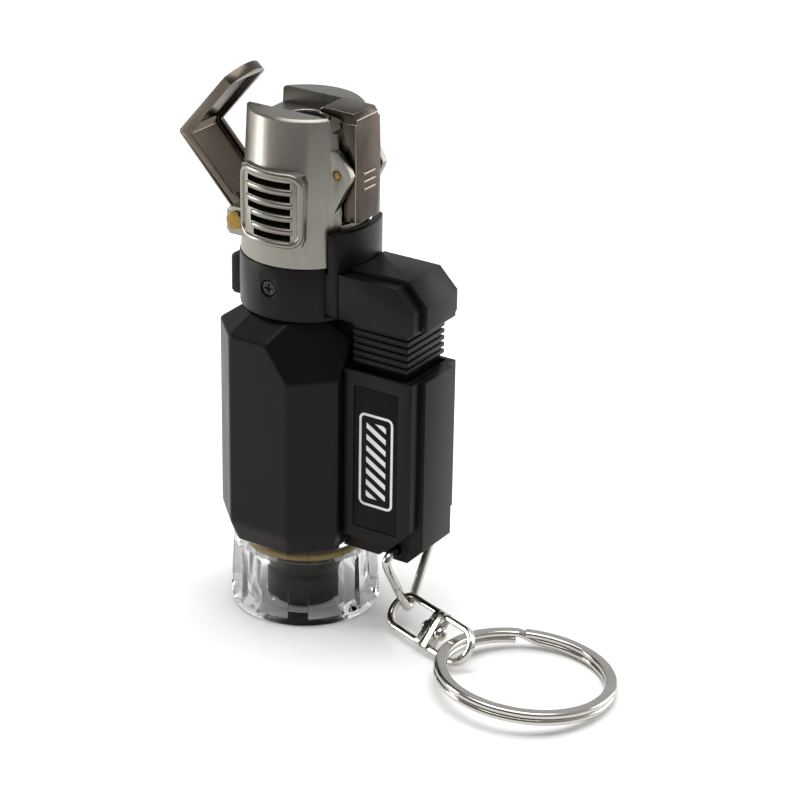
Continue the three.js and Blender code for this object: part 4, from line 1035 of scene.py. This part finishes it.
class TORCH_OT_collar(bpy.types.Operator):
    """Make the collar, its guide, the flame lock and the screws"""
    bl_idname = "torch.collar"
    bl_label = "Collar"

    def execute(self, context):
        make_collar()
        return {"FINISHED"}


class TORCH_OT_head(bpy.types.Operator):
    """Make the burner head and what is inside it"""
    bl_idname = "torch.head"
    bl_label = "Burner head"

    def execute(self, context):
        make_head()
        make_burner()
        return {"FINISHED"}


class TORCH_OT_lid(bpy.types.Operator):
    """Make the flip lid and its pin"""
    bl_idname = "torch.lid"
    bl_label = "Lid"

    def execute(self, context):
        make_lid()
        return {"FINISHED"}


class TORCH_OT_button(bpy.types.Operator):
    """Make the release button and its pin"""
    bl_idname = "torch.button"
    bl_label = "Release button"

    def execute(self, context):
        make_button()
        return {"FINISHED"}


class TORCH_OT_trigger(bpy.types.Operator):
    """Make the sliding trigger"""
    bl_idname = "torch.trigger"
    bl_label = "Trigger"

    def execute(self, context):
        make_trigger()
        return {"FINISHED"}


class TORCH_OT_grip(bpy.types.Operator):
    """Make the grip block and its label"""
    bl_idname = "torch.grip"
    bl_label = "Grip block"

    def execute(self, context):
        make_grip()
        return {"FINISHED"}


class TORCH_OT_key_hardware(bpy.types.Operator):
    """Make the wire loop, the swivel and the split ring"""
    bl_idname = "torch.key_hardware"
    bl_label = "Ring and swivel"

    def execute(self, context):
        make_key_hardware()
        return {"FINISHED"}


class TORCH_OT_insides(bpy.types.Operator):
    """Finish the inner works"""
    bl_idname = "torch.insides"
    bl_label = "Inner works"

    def execute(self, context):
        make_insides()
        return {"FINISHED"}


class TORCH_OT_stage(bpy.types.Operator):
    """Make the floor, the lights and the camera"""
    bl_idname = "torch.stage"
    bl_label = "Stage"

    def execute(self, context):
        make_stage()
        return {"FINISHED"}


OPERATORS = (TORCH_OT_stage, TORCH_OT_finishes, TORCH_OT_base, TORCH_OT_housing,
             TORCH_OT_collar, TORCH_OT_head, TORCH_OT_lid, TORCH_OT_button, TORCH_OT_trigger,
             TORCH_OT_grip, TORCH_OT_key_hardware, TORCH_OT_insides)


class TORCH_PT_panel(bpy.types.Panel):
    """Lists the makers and their settings"""
    bl_idname = "TORCH_PT_panel"
    bl_label = "Butane torch"
    bl_space_type = "VIEW_3D"
    bl_region_type = "UI"
    bl_category = "Torch"

    def draw(self, context):
        for group in (context.scene.torch_sizes, context.scene.torch_colours):
            box = self.layout.box()
            for key in group.__annotations__:
                box.prop(group, key)
        for maker in OPERATORS:
            self.layout.operator(maker.bl_idname)


def register():
    for cls in (TorchSizes, TorchColours, *OPERATORS, TORCH_PT_panel):
        bpy.utils.register_class(cls)
    bpy.types.Scene.torch_sizes = PointerProperty(type=TorchSizes)
    bpy.types.Scene.torch_colours = PointerProperty(type=TorchColours)


def unregister():
    del bpy.types.Scene.torch_colours
    del bpy.types.Scene.torch_sizes
    for cls in reversed((TorchSizes, TorchColours, *OPERATORS, TORCH_PT_panel)):
        bpy.utils.unregister_class(cls)


def main():
    register()
    for maker in OPERATORS:
        group, name = maker.bl_idname.split(".")
        getattr(getattr(bpy.ops, group), name)()


if __name__ == "__main__":
    main()
